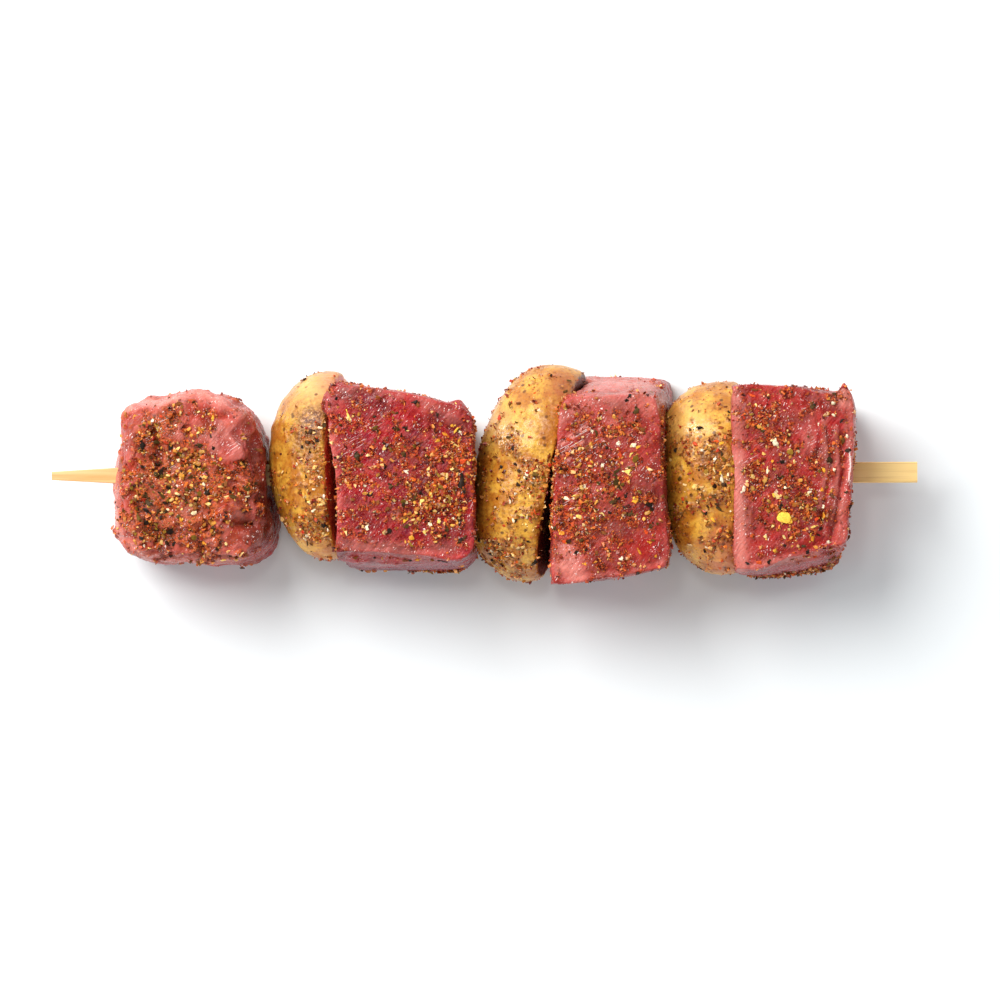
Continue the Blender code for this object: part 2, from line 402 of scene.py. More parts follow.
def makeSkewer(choice, finish):
    low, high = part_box("skewer")
    sizes = {
        "Length": high.x - low.x, "Width": high.y - low.y, "Thickness": high.z - low.z,
        "Height": (low.z + high.z) / 2, "Tip width": choice["tipWidth"] * mm,
        "Tip thickness": choice["tipThickness"] * mm, "Taper": choice["taper"] * mm,
        "Corner": choice["corner"] * mm, "Fibre width": choice["fibreWidth"] * mm,
        "Fibre depth": choice["fibreDepth"] * mm, "Seed": choice["seed"],
    }
    tree, nodes, given = newTree("skewer lath", sizes)
    half = given["Length"] * 0.5
    start = nodes.add("ShaderNodeCombineXYZ", None, {"X": half * -1.0})
    end = nodes.add("ShaderNodeCombineXYZ", None, {"X": half})
    line = nodes.add("GeometryNodeCurvePrimitiveLine", None, {"Start": start, "End": end})
    line = nodes.add("GeometryNodeResampleCurve", None, {"Curve": line, "Count": choice["rings"]})
    outline = nodes.add("GeometryNodeCurvePrimitiveQuadrilateral", None,
                        {"Width": given["Width"], "Height": given["Thickness"]})
    outline = nodes.add("GeometryNodeFilletCurve", {"mode": "POLY"},
                        {"Curve": outline, "Radius": given["Corner"], "Count": 3})
    outline = nodes.add("GeometryNodeResampleCurve", None, {"Curve": outline, "Count": choice["sides"]})
    lath = nodes.add("GeometryNodeCurveToMesh", None,
                     {"Curve": line, "Profile Curve": outline, "Fill Caps": True})
    spot = nodes.add("GeometryNodeInputPosition")
    parts = nodes.add("ShaderNodeSeparateXYZ", None, {"Vector": spot})
    x, y, z = (Wire(nodes, parts.socket.node.outputs[axis]) for axis in "XYZ")
    fromTip = (x + half) / given["Taper"]
    full = nodes.add("ShaderNodeClamp", None, {"Value": fromTip})
    widen = (full * (given["Width"] - given["Tip width"]) / given["Width"]
             + given["Tip width"] / given["Width"])
    thicken = (full * (given["Thickness"] - given["Tip thickness"]) / given["Thickness"]
               + given["Tip thickness"] / given["Thickness"])
    stretched = nodes.add("ShaderNodeCombineXYZ", None, {
        "X": x / (given["Fibre width"] * choice["fibreStretch"]) + given["Seed"],
        "Y": y / given["Fibre width"],
        "Z": z / given["Fibre width"]})
    fibre = nodes.add("ShaderNodeTexNoise", None, {"Vector": stretched, "Scale": 1.0, "Detail": 2.0}) - 0.5
    relief = nodes.add("ShaderNodeVectorMath", {"operation": "SCALE"},
                       {0: nodes.add("GeometryNodeInputNormal"), "Scale": fibre * 2.0 * given["Fibre depth"]})
    shaped = nodes.add("ShaderNodeCombineXYZ", None,
                       {"X": x, "Y": y * widen, "Z": z * thicken + given["Height"]})
    moved = nodes.add("ShaderNodeVectorMath", {"operation": "ADD"}, {0: shaped, 1: relief})
    lath = nodes.add("GeometryNodeSetPosition", None, {"Geometry": lath, "Position": moved})
    lath = nodes.add("GeometryNodeSetShadeSmooth", None, {"Geometry": lath, "Shade Smooth": True})
    endTree(nodes, lath, finish)
    piece = grown("skewerLath", tree, sizes)
    piece.data.set_sharp_from_angle(angle=math.radians(50))
    return piece


def bambooColour(nodes):
    broad = nodes.cloud((40, 1.6, 1.6), detail=2)
    fine = nodes.cloud((18, 0.22, 0.3), detail=3, rough=0.6, shift=0.013)
    lines = nodes.cloud((30, 0.16, 0.5), detail=1, shift=0.021).step(0.60, 0.72)
    along = nodes.add("ShaderNodeSeparateXYZ", None,
                      {"Vector": nodes.add("ShaderNodeTexCoord", output="Object")})
    # The butt end is drawn paler: pale wood, and painted light where the last chunk's shadow falls on it.
    butt = along.step(skewer["paleFrom"] * mm, skewer["paleTo"] * mm)
    return nodes.layers(skewer, "straw", [
        (broad.step(0.35, 0.7), "honey"), (fine.step(0.45, 0.75) * 0.4, "honey"), (butt * 0.7, "pith"),
        (lines * 0.5, "brown")])


def bambooRoughness(nodes):
    return nodes.cloud((18, 0.25, 0.3), detail=2) * 0.2 + skewer["roughness"] - 0.1


def bambooNormal(nodes):
    return nodes.bump(nodes.cloud((18, 0.22, 0.3), detail=3, rough=0.6, shift=0.013), 0.05)


bambooFinish = newMaterial(
    "bamboo", {"Specular IOR Level": 0.4, "Subsurface Weight": 0.08, "Subsurface Radius": (1.0, 0.6, 0.3),
               "Subsurface Scale": 0.8 * mm}, bambooColour, bambooRoughness, bambooNormal)
skewerLath = makeSkewer(skewer, bambooFinish)
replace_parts(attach(skewerLath, "root"), "skewer")
print("skewer made")


# The rub lies in patches. Its masks are stored on the meshes, for the colours and for the scattered spices.
rubShape = {
    "patch": 2.9, "ragged": 1.1, "knot": 3.2, "fineKnot": 1.3, "paste": 0.95, "sidePatch": 9.0,     # widths
    "lift": 0.08, "grit": 0.34, "clearFloor": 1.5,      # heights, in millimetres as the widths are
    "edge": 0.16, "side": 0.14, "dusting": 0.14,        # shares
}


def layRub(food, choice, bare):     # bare is 1 where nothing sticks
    shape, seed = rubShape, choice["seed"]
    upper = between(food.out[:, 2], 0.05, 0.6)
    above = between(food.at[:, 2], shape["clearFloor"], shape["clearFloor"] + 2)
    outline = layered(food.at / shape["patch"], seed + 13) * 0.9
    outline += noise(food.at / shape["ragged"], seed + 15) * 0.25
    side = shape["side"] + 0.6 * noise(food.at / shape["sidePatch"], seed + 31)
    side -= choice["flank"] * between(-food.out[:, 1], 0.3, 0.7)
    crust = np.zeros(len(food.at))
    for x, y, z, reach, strength in choice["crust"]:
        crust += strength * fading(food.awayFrom(x, y, z), reach)
    cover = food.blots(choice["cover"], choice["base"]) * upper + side * (1 - upper) + crust
    patch = between(outline + cover - 0.5, -shape["edge"], shape["edge"]) * (1 - bare) * above
    paste = np.clip(0.5 + 0.9 * layered(food.at / shape["paste"], seed + 17, 2), 0, 1)
    folds = noise(food.at / shape["knot"], seed + 19) + 0.3 * noise(food.at / shape["fineKnot"], seed + 21)
    knots = between(1 - 2.6 * np.abs(folds), 0.1, 0.9)
    paste = np.clip(paste + 0.6 * choice["knots"] * (knots - 0.5), 0, 1)
    food.swell(patch * (shape["lift"] + shape["grit"] * (paste - 0.35) + choice["knots"] * (knots - 0.4)))
    food.keepInside()
    thin = np.clip(cover, 0, 1) * (1 - bare) * above
    food.store("glaze", choice["glaze"] * thin)
    food.store("rub", patch)
    food.store("paste", paste)
    food.store("paprika", choice["dust"] * (0.3 * thin + 0.8 * patch))
    for name, inCrust, more in (("golden", 0.3, choice["gold"]), ("pepper", 1.0, 1.0), ("herb", 1.0, 1.0)):
        shown = food.blots(choice[name], shape["dusting"]) * upper + 0.1 * (1 - upper) + crust * inCrust
        food.store(name, shown * more * (0.3 * thin + 0.7 * patch) * above)


# Beef. Places are in millimetres from the middle of each piece's own box, heights from the table.
beefShape = {
    "grid": 0.7, "smoothing": 6, "bundles": 0.18, "fibres": 0.09, "lumps": 0.13,
    "swellSize": 8.0, "foldSize": 6.0, "calmSize": 7.0, "lumpSize": 1.7,
    "bundleSize": (15, 2.6, 3.2), "fibreSize": (7, 1.0, 1.3),       # along the grain, across it and upwards
}
usualChunk = {"swell": 0.3, "knead": 0.3, "edge": 3.6, "corners": [], "pulls": [], "spikes": [], "crust": [],
              "flank": 0.2, "glaze": 0.0, "knots": 0.2, "dust": 1.0, "gold": 1.0}
chunkOne = {
    "node": "beef_1", "seed": 11, "grain": 55.0, "swell": 1.3, "knead": 0.9, "edge": 2.0,
    "pulls": [(-19, 0, 16, 8, -1.0, 0, 0), (0.5, 18, 26, 9, 0, 1.6, 0), (-15, 14, 26, 6, -1.2, 1.2, 0)],
    "spikes": [(13, 15, 30, 5, 1.4, 1.6, 0)],
    "creases": [([(-9.5, 12), (-7.8, 6.5), (-8.5, 1)], 1.2, 1.9),
                ([(4, 6), (7, 11.5), (12, 15.5)], 1.4, -1.1),
                ([(6, -9.6), (10, -10.8), (15, -10.2)], 0.9, 1.5), ([(-2, 13), (1, 7), (-1, 2)], 1.6, 1.2),
                ([(-13, -2), (-12, -8), (-8, -13)], 1.5, 1.0), ([(5, 4), (9, 0), (10, -5)], 1.3, 1.1),
                ([(-14, 8), (-12, 2)], 1.3, 1.0), ([(9, 12), (13.5, 7), (15, 1)], 1.1, 1.0),
                ([(-3, -3), (2, -7), (3, -13)], 1.2, 0.8), ([(1, 5), (5, 1), (6, -6)], 1.0, -0.8),
                ([(8, 4), (13, 3)], 0.8, 0.7), ([(11, -3), (15, -5)], 0.9, 0.8)],
    "cover": [(-6, 1, 10, 0.5), (-10, -8, 8, 0.4), (3, 1, 7, 0.45), (-7, 13, 6, 0.4), (0, -13, 11, 0.4),
              (14, 0, 6, 0.3), (9.5, 8, 5, -0.5), (13, -10, 5, -0.1)],
    "bands": [([(-17, 16), (-13, 18.2), (-7, 17.7), (0, 20.2), (7, 17.5)], 1.7, 0.7, 0.9),
              ([(-17.5, 10), (-19, 3), (-19, -5), (-17, -13), (-11, -18)], 1.3, 0.7, 0.7),
              ([(-9, -18), (2, -19), (10, -18)], 1.0, 0.5, 0.3), ([(5, 7), (12, 15)], 1.8, 0.3, 0.7)],
    "golden": [(-7, -3, 9, 0.35), (-1, 5, 7, 0.7), (6, -4, 6, 0.4), (-10, 11, 4, 0.5)],
    "pepper": [(-10, -6, 5, 1.8), (-9, 3, 3, 1.6), (-1, -1, 6, 0.7), (-6, -13, 4, 0.8)],
    "herb": [(-8, -3, 8, 1.2), (2, 2, 6, 0.6)],
    "pale": [(9, 9, 5, 0.3), (-4, 12, 3, 0.3), (-2, -8, 3, 0.2), (-2, 6, 2.5, 0.5), (3, -14, 5, 0.3)],
    "maroon": [(-9, 2, 5, 0.8), (-10, -7, 4.5, 1.0), (1, -1, 4, 0.5), (-3, 7, 3, 0.5), (14, 5, 4.5, 1.0),
               (14, -4, 5, 1.0), (15, -12, 6, 1.0), (13, -8, 4, 0.8), (-9, 8, 2.5, 0.9), (-14, 10, 2, 0.6)],
    "gleams": [([(-10.5, 9.5), (-6, 12.5)], 1.6, 0.6), ([(-5, 2), (-1, 4)], 1.6, 0.5),
               ([(-3, -9), (1, -6)], 2.0, 0.4), ([(-12, 12), (-9, 14)], 1.5, 0.4),
               ([(8, 6), (12, 10)], 1.6, 0.4)],
    "base": 0.32, "salmon": 0.35, "glaze": 0.8, "knots": 1.0, "dust": 0.16, "gold": 1.9,
}
chunkTwo = {
    "node": "beef_2", "seed": 23, "grain": 50.0, "swell": 0.35,
    "corners": [(-12, -17, 8, 0.6), (-17, 19, 6, -0.8)],
    "pulls": [(-16, 16.5, 33, 4, -1.0, 0, 0), (-16.5, 12.3, 32, 3.6, 2.4, 0, -0.5),
              (-17, -4, 32, 17, 1.7, 0, 0), (-11, -19, 34, 7, 0, 2.0, 0), (-4, -20, 34, 7, 0, 1.8, 0),
              (4, -20, 34, 7, 0, 1.2, 0)],
    "spikes": [(13, 15.5, 30, 4, 0.6, 1.8, 0)],
    "creases": [([(2, 15), (7, 11), (13, 11)], 1.6, 0.7), ([(-2, -6), (0, -11)], 0.5, -0.5)],
    "cover": [(-8, 4, 9, 0.15), (8, -5, 9, 0.4), (13, 5, 5, 0.5), (-13, 0, 4, 0.2), (7, 16, 5, -0.3)],
    "bands": [([(-16, 11), (-15.5, 2), (-14.5, -9)], 1.2, 0.35, 0.0),
              ([(-17, 19), (-10, 20.5), (0, 19)], 1.0, 0.2, 0.2),
              ([(-13, -15), (-5, -16.5), (3.4, -17.6), (12, -16.5)], 1.7, 0.25, 0.9),
              ([(4.4, 17.4), (11.3, 14)], 2.2, 0.2, 0.9)],
    "golden": [(9, -4, 9, 0.8), (13, 4, 5, 1.0), (3, -10, 8, 0.8), (-12, -2, 6, 0.5), (8, 9, 4, 0.5)],
    "pepper": [(-8, 5, 6, 0.4), (-3, 10, 6, 0.5), (10, -12, 6, 0.7), (13, 6, 3, 0.5)],
    "herb": [(0, 2, 14, 0.3)],
    "crust": [(13, -20, 18, 5, 1.2), (-8, -21, 3, 3, 1.6), (4, -21.5, 2, 4, 1.6), (11, -21, 3, 4, 1.8)],
    "pale": [(-11, -15, 4, 0.12), (-15, 17, 4, 0.1), (-0.8, -9, 1.2, 0.7)],
    "maroon": [(3, -4, 6, 0.8), (4, 5, 4, 0.6), (11, -10, 5, 0.7), (-7, -8, 4, 0.5), (-5, 6, 4, 0.4),
               (8, 2, 4, 0.4)],
    "gleams": [([(-12, 6), (-6, 12)], 2.4, 0.5), ([(-12, 16), (-8, 17)], 1.5, 0.35),
               ([(2, -10), (6, -6)], 1.5, 0.3)],
    "base": 0.34, "salmon": 0.05, "flank": 0.9,
}
chunkThree = {
    "node": "beef_3", "seed": 37, "grain": 35.0,
    "corners": [(-12, -22, 7, 0.8), (12, -18, 7, 0.5), (9, 17, 7, 0.5)],
    "creases": [([(-12, 2), (-12.5, -12)], 1.2, 0.6)],
    "cover": [(-3, 4, 10, 0.2), (-5, -9, 9, 0.3), (-10, -22, 3, -0.3), (0, 20, 4, -0.5), (10, -16, 5, -0.1)],
    "bands": [([(-9, 22.2), (0, 22), (8, 22)], 2.8, 0.55, 0.95),
              ([(-7, 18), (2, 19), (11, 18)], 2.4, 0.4, 0.6), ([(12, 20), (13, 12)], 2.0, 0.1, 0.8),
              ([(-12, 8), (-7, 10.8)], 0.3, 0.9, 0.2), ([(-12.4, 5.4), (-7, 8.6)], 0.3, 0.9, 0.2),
              ([(-10.5, 9.8), (-5.5, 12.6)], 0.25, 0.8, 0.2), ([(-12, 3.6), (-9, 5.4)], 0.25, 0.8, 0.2),
              ([(-9, 5), (-5.5, 7.4)], 0.25, 0.7, 0.2), ([(-9.5, -5), (-7.8, -2.6)], 0.25, 0.7, 0.2),
              ([(-13, 13), (-7, 19)], 1.6, 0.4, 0.6), ([(-12, -20), (-8, -22), (-11, -16)], 2.2, 0.7, 0.6),
              ([(-6, -22), (4, -21), (11, -19)], 1.0, 0.2, 0.3)],
    "golden": [(-6, 0, 8, 0.8), (2, 6, 6, 0.6), (-5, -9, 6, 0.7), (8, -10, 5, 0.4)],
    "pepper": [(2, -1, 7, 0.5), (5, 15, 3, 0.7), (-3, -14, 6, 0.3), (8, -1, 4, 0.4)],
    "herb": [(4, 0, 12, 0.3)], "crust": [(-15, -8, 30, 6, 0.7)],
    "pale": [(-1, 13, 5, 0.25), (8, 17, 3, 0.6), (4, 3, 3, 0.2), (-3, -3, 3, 0.2)],
    "maroon": [(11, -5, 5, 1.0), (11, 4, 3, 0.7), (14, 16, 4, 0.8), (0, -19, 5, 0.4), (3, -8, 5, 0.6),
               (-7, -12, 4, 0.5), (-4, 8, 4, 0.3)],
    "gleams": [([(-11.5, 6), (-7, 11)], 2.6, 0.65), ([(-9, 5), (-4, 8)], 1.8, 0.5),
               ([(-10, -6), (-7, -2)], 1.8, 0.6), ([(-6, 20), (6, 21)], 2.0, 0.35),
               ([(0, -1), (4, 2)], 2.0, 0.4)],
    "base": 0.32, "salmon": 0.22, "glaze": 0.3,
}
chunkFour = {
    "node": "beef_4", "seed": 51, "grain": 88.0,
    "corners": [(-12, -20, 7, 0.8), (-12, 18, 7, 0.8), (11, 16, 7, 0.6)],
    "pulls": [(-15, -13, 30, 8, -0.5, 0, 0), (7, 20.5, 33, 6, 0, -1.2, 0), (0, -21, 34, 7, 0, 1.4, 0),
              (8, -19, 34, 7, -0.4, 2.2, 0)],
    "spikes": [(11.2, 18.6, 34, 2.6, 0.3, 4.4, 0.3)],
    "creases": [([(3, 19), (4.5, 12), (3, 4)], 0.9, 0.5),
                ([(7, 14), (8.5, 4), (6.5, -6), (6, -12)], 0.6, 0.8), ([(5, 16), (6, 9), (4.6, 3)], 0.6, 0.6),
                ([(10.5, 12), (11.2, 2), (9.5, -8), (8, -15)], 0.7, 1.2),
                ([(1, -2), (2.5, -8), (1, -14)], 0.8, 0.35)],
    "cover": [(-6, 14, 7, 0.2), (-1, -5, 9, 0.3), (5, 5, 5, 0.1), (12, -2, 3.5, -0.2)],
    "bands": [([(-13.2, 6), (-12.8, -5), (-12.4, -20)], 1.7, 0.62, 1.0),
              ([(-13.4, 20), (-13.2, 8)], 1.2, 0.5, 0.3),
              ([(-10, -19.5), (0, -18), (5, -17)], 1.0, 0.45, 0.7),
              ([(12.5, 18), (13, 8), (12.8, 0)], 1.1, 0.35, 0.8), ([(10.5, -3), (10.5, -14)], 1.8, 0.3, 0.7),
              ([(4, 15), (3, 8)], 1.5, 0.25, 0.9), ([(6.6, 14), (7.4, 4), (5.8, -6)], 0.6, 0.4, 0.6),
              ([(9.4, 12), (9.8, 2), (8.6, -10)], 0.6, 0.4, 0.6)],
    "golden": [(-4, -2, 9, 0.7), (2, -8, 8, 0.8), (-8, 10, 6, 0.5)],
    "pepper": [(-2, -8, 8, 0.4), (4, 10, 6, 0.3), (-7, 2, 6, 0.3)], "herb": [(0, 0, 14, 0.25)],
    "crust": [(-4, -23, 12, 6, 0.9), (5, -22, 10, 6, 0.9), (11, -20, 14, 5, 0.7)],
    "pale": [(8, 4, 3, 0.2), (11, 19, 3, 0.9)],
    "maroon": [(1, -6, 5, 0.6), (-4, 12, 4, 0.3), (7, -8, 3, 0.5), (10, 8, 2.5, 0.4)],
    "gleams": [([(12.5, 7.5), (12.8, 3.5), (12.2, -0.5)], 0.42, 1.05), ([(3, 13), (4, 6)], 1.4, 0.4),
               ([(-11, 4), (-8, 8)], 1.6, 0.4), ([(8, 4), (8.4, -6)], 0.8, 0.5)],
    "base": 0.32, "salmon": 0.25, "flank": 0.35, "glaze": 0.15,
}
threaded = ["beef_1", "potato_1", "beef_2", "potato_2", "beef_3", "potato_3", "beef_4"]


def pressed(food, node):        # 0.9 where a face is pressed against the next piece, so nearly no rub sticks
    index = threaded.index(node)
    left = (food.out[:, 0] < -0.6) & (index > 0)
    right = (food.out[:, 0] > 0.6) & (index < len(threaded) - 1)
    below = food.at[:, 2] < 30      # above this height the rub reaches in between the pieces
    return np.where(below & (left | right), 0.9, 0.0)


def shapeBeef(choice):
    piece = smoothCopy(choice["node"], choice["node"] + "_meat", beefShape)
    food = Food(piece, choice["node"])
    shape, seed = beefShape, choice["seed"]
    food.settle()
    food.squareUp(choice["edge"], choice["corners"])
    for spot in choice["pulls"]:
        food.pull(*spot)
    for spot in choice["spikes"]:
        food.spike(*spot)
    food.settle()
    food.swell(choice["swell"] * layered(food.at / shape["swellSize"], seed))
    fold = 0.4 - np.abs(layered(food.at / shape["foldSize"], seed + 67, 2)) * 2
    kneaded = choice["knead"] * (0.25 + 0.75 * between(food.out[:, 2], 0.0, 0.7))
    food.swell(kneaded * fold)
    food.settle()
    for path, width, depth in choice["creases"]:
        food.crease(path, width, depth)
    food.settle()
    along = turned(food.at, choice["grain"])
    bundles = 1 - 2 * np.abs(layered(along / shape["bundleSize"], seed + 5))
    fibres = 1 - 2 * np.abs(layered(along / shape["fibreSize"], seed + 9, 2))
    calm = between(noise(food.at / shape["calmSize"], seed + 61), -0.4, 0.3)
    food.swell((shape["bundles"] * bundles + shape["fibres"] * fibres) * calm)
    food.swell(shape["lumps"] * noise(food.at / shape["lumpSize"], seed + 63) * (1.5 - calm))
    food.settle()
    upper = between(food.out[:, 2], -0.1, 0.6)
    bare = pressed(food, choice["node"])
    pale = food.blots(choice["pale"])
    for path, width, light, clean in choice["bands"]:
        near = fading(food.nearLine(path)[0], width)
        pale = np.maximum(pale, light * near)
        bare = np.maximum(bare, clean * near)
    ridge = kneaded * between(fold, 0.05, 0.35)
    pale = (pale + 0.3 * ridge) * between(food.out[:, 2], -0.5, 0.2)
    bare = np.maximum(bare, 0.5 * ridge)
    pale += (1 - upper) * between(noise(food.at / 11.0, seed + 41), 0.0, 0.6) * 0.15
    food.store("pale", pale)
    food.store("rim", food.rim * between(noise(food.at / 4.0, seed + 43), -0.5, 0.4))
    food.store("salmon", np.full(len(food.at), choice["salmon"]))
    # Painted shade: the front faces, turned away from the key lamp, are drawn duller and darker.
    food.store("flank", choice["flank"] * between(-food.out[:, 1], 0.3, 0.8) * (1 - upper))
    # Dark maroon patches: the meat's own colour on the tops, and painted shade on the right-hand sides away
    # from the key lamp.
    food.store("maroon", food.blots(choice["maroon"]))
    # Painted highlights: white wet strokes along the listed gleam paths, laid into the colour.
    gleam = np.zeros(len(food.at))
    for path, width, strength in choice["gleams"]:
        gleam = np.maximum(gleam, strength * fading(food.nearLine(path)[0], width))
    food.store("gleam", gleam * upper)
    # Where the painted glints may go: mostly on upward faces, which face the lamps.
    food.store("wet", 0.15 + 0.85 * upper)
    layRub(food, choice, bare)
    return piece


beefLook = {
    "deep": (92, 3, 10), "lean": (164, 12, 24), "purple": (126, 24, 50), "pink": (206, 72, 74),
    "salmon": (190, 72, 54), "maroon": (78, 6, 18), "fat": (238, 148, 132), "flank": (136, 78, 90),
    "glaze": (164, 84, 38), "paste": (174, 50, 16), "darkPaste": (62, 10, 6), "brightPaste": (222, 112, 42),
    "powder": (214, 90, 36), "glint": (255, 234, 226), "grain": 50.0, "slant": 30.0, "roughness": 0.26,
}


def beefColour(nodes):
    look, mask = beefLook, nodes.mask
    grain, rub, paste, gleam = look["grain"], mask("rub"), mask("paste"), mask("gleam")
    broad = nodes.cloud(7.0, detail=3)
    fibre = nodes.cloud((4.0, 0.6, 0.7), turn=grain, detail=3, rough=0.6)
    film = nodes.cloud(2.2, detail=3, rough=0.6, shift=0.023)
    fleck = nodes.cloud(0.42, detail=2, shift=0.017)
    strand = nodes.cloud((1.3, 0.34, 0.4), turn=grain, detail=1, shift=0.041)
    # The paste is drawn darker in its hollows and brighter on its raised knots: painted shade and light over
    # its own colour.
    crust = nodes.layers(look, "darkPaste", [
        (paste.step(0.30, 0.60), "paste"), (paste.step(0.55, 0.80), "brightPaste")])
    # Painted highlights: small white glints, streaks along the gleam paths and solid white where the gleam is
    # strongest.
    wet = nodes.cloud((0.7, 0.32, 0.36), turn=grain + 8, detail=2, rough=0.6, shift=0.047)
    glints = wet.step(0.64, 0.67) * nodes.cloud(3.6, detail=2, shift=0.053).step(0.42, 0.60) * mask("wet")
    streak = nodes.cloud((3.4, 0.24, 0.3), turn=look["slant"], detail=1, shift=0.061)
    glints = glints + streak.step(0.62, 0.66) * gleam.step(0.15, 0.5) * 0.65 + gleam.step(0.74, 0.92) * 0.8
    return nodes.layers(look, "lean", [
        (broad.step(0.38, 0.66), "deep"),
        (film.step(0.52, 0.68) * 0.6, "purple"),
        (mask("salmon") * (0.30 + broad * 0.8), "salmon"),
        (fibre.step(0.50, 0.70) * 0.45, "pink"),
        # painted shade: darker lines between the fibres
        ((1 - strand.step(0.34, 0.44)) * 0.4, "deep"),
        # maroon patches, partly painted shade on the right-hand sides
        (mask("maroon") * (0.4 + film * 0.9), "maroon"),
        (mask("rim") * 0.38, "pink"),
        # painted shade on the front faces
        (mask("flank") * (0.6 + fibre * 0.5), "flank"),
        (mask("pale") * (0.6 + fibre * 0.6), "fat"),
        (rub * 0.75, crust),
        (mask("glaze") * (0.4 + film * 0.8), "glaze"),
        (fleck.step(0.56, 0.62) * (0.16 + rub * 0.75), "powder"),
        # dark flecks: dark paste, and painted shade round the grains
        ((1 - fleck.step(0.38, 0.44)) * (0.12 + rub * 0.75), "darkPaste"),
        (nodes.add("ShaderNodeClamp", None, {"Value": glints}), "glint"),
    ])


def beefRoughness(nodes):
    return nodes.cloud(1.2, detail=2) * 0.3 + beefLook["roughness"] - 0.2


def beefNormal(nodes):
    rub = nodes.mask("rub")
    fibre = nodes.cloud((3.5, 0.5, 0.6), turn=beefLook["grain"], detail=3, rough=0.6)
    wet = nodes.cloud(1.1, detail=2, shift=0.027)
    grit = nodes.cloud(0.42, detail=2, shift=0.017)
    return nodes.bump(fibre * (0.7 - rub * 0.4) + wet * 0.5 + grit * (0.22 + rub * 1.1), 0.38)


beefFinish = newMaterial(
    "raw beef",
    {"Specular IOR Level": 0.14, "Subsurface Weight": 0.12, "Subsurface Radius": (1.0, 0.25, 0.18),
     "Subsurface Scale": 1.0 * mm, "Coat Weight": 0.08, "Coat Roughness": 0.03},
    beefColour, beefRoughness, beefNormal)
beefPieces = []
for chunk in (chunkOne, chunkTwo, chunkThree, chunkFour):
    choice = {**usualChunk, **chunk}
    meat = shapeBeef(choice)
    meat.data.materials.append(beefFinish)
    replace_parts(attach(meat, "root"), choice["node"])
    beefPieces.append(meat)
    print(choice["node"], "shaped with", len(meat.data.polygons), "faces")


# Halved potatoes: thin skin all round, cut flesh on the flat side.
potatoShape = {
    "grid": 0.8, "smoothing": 5, "wrinkles": 0.12, "pores": 0.07, "lumps": 0.12, "swell": 0.5,
    "wrinkleTurns": 5.5, "poreSize": 0.95, "lumpSize": 2.6, "swellSize": 9.0, "cutFace": 0.06, "cutSize": 1.1,
}
usualHalf = {"crust": [], "flank": 0.0, "glaze": 0.0, "knots": 0.1, "dust": 0.5, "gold": 1.5}
halfOne = {
    "node": "potato_1", "seed": 71, "dents": [(-4, 4, 30, 5, 0.4)],
    "cover": [(1, 7, 5, 0.4), (1, -11, 8, 0.6), (2, 0, 5, 0.4), (-1, 19, 8, -0.3)],
    "golden": [(2, -8, 7, 1.0), (0, -15, 5, 0.6), (2, 2, 5, 0.4)],
    "pepper": [(0, 9, 6, 0.6), (3, -12, 2, 0.8)], "herb": [(0, 9, 6, 0.4)],
    "cream": [(0, 21, 8, 1.0), (3, 17, 5, 0.5)], "brown": [(0.2, 10, 5, 1.2), (-1.5, 5, 3.5, 0.7)],
    "rosy": [(4, 19, 6, 0.8), (3, -20, 4, 0.5)],
    "shadow": [(-8, -6, 3, 0.4), (-6, -13, 3, 0.5), (-8, 4, 9, 0.4)], "shine": [(2, -8, 5, 0.4)],
    "wrinkled": [(-6, -4, 5, 1.0), (-2, -3, 4, 0.5)], "base": 0.18, "murk": 0.0,
}
halfTwo = {
    "node": "potato_2", "seed": 83, "dents": [(-9, -2, 24, 7, 1.0), (4, 3, 30, 5, 0.5)],
    "cover": [(1, -6, 8, 0.4), (-8, -19, 7, 0.7), (1, 1, 5, 0.4), (-11, 2, 5, 0.4), (-4, 7, 4, 0.4)],
    "golden": [(3, -8, 7, 0.8), (-9, -18, 6, 0.8), (2, 1, 4, 0.8), (-11, 10, 4, 0.5)],
    "pepper": [(-8, -16, 6, 0.6), (5, -14, 5, 0.8), (-4, 0, 4, 0.3)], "herb": [(6, -10, 8, 0.5)],
    "cream": [(-7, 11, 6, 0.8)], "brown": [(-9, -18, 3.5, 0.7), (-3, -24, 4, 0.7), (-4.5, 6, 2.4, 0.8)],
    "shine": [(-5, 8.5, 3.6, 1.3), (-9, 14, 3, 0.5), (1, 2, 3, 0.4)],
    "wrinkled": [(-2, 12, 6, 0.4), (-9, -8, 4, 0.4)], "rosy": [(8, 20, 5, 0.8)],
    "shadow": [(-12, -4, 4, 0.5), (4, 12, 3, 0.5), (3, -12, 3, 0.3), (-5, -22, 6, 0.1), (8, 20, 6, 0.7)],
    "base": 0.2, "murk": 0.95,
}
halfThree = {
    "node": "potato_3", "seed": 97, "dents": [(-3, -8, 30, 6, 0.5)],
    "cover": [(4, 7, 6, 0.5), (4, -2, 7, 0.55), (-3, 6, 5, 0.4), (-5, -7, 5, 0.3), (3, -14, 4, 0.4)],
    "golden": [(4, 0, 6, 1.0), (3, -10, 5, 0.6), (-6, -8, 4, 0.5)],
    "pepper": [(3, -3, 5, 0.6), (2, 13, 4, 0.3)], "herb": [(4, -4, 8, 0.5)], "cream": [(-3, 12, 6, 0.7)],
    "brown": [(-4, 6, 2, 0.6), (4, 7, 2.5, 0.7), (5, -5, 2.5, 0.5)],
    "rosy": [(5, -14, 5, 0.9), (5, -20, 4, 0.7)],
    "shadow": [(-5, -2, 2.5, 0.7), (-1, -6, 2.5, 0.6), (-8, 8, 3, 0.2), (5, -10, 3, 0.3)],
    "shine": [(-2, 11, 3, 0.8), (0, 1, 3, 0.3)], "wrinkled": [(-6, -12, 5, 0.5)], "base": 0.2, "murk": 0.6,
}


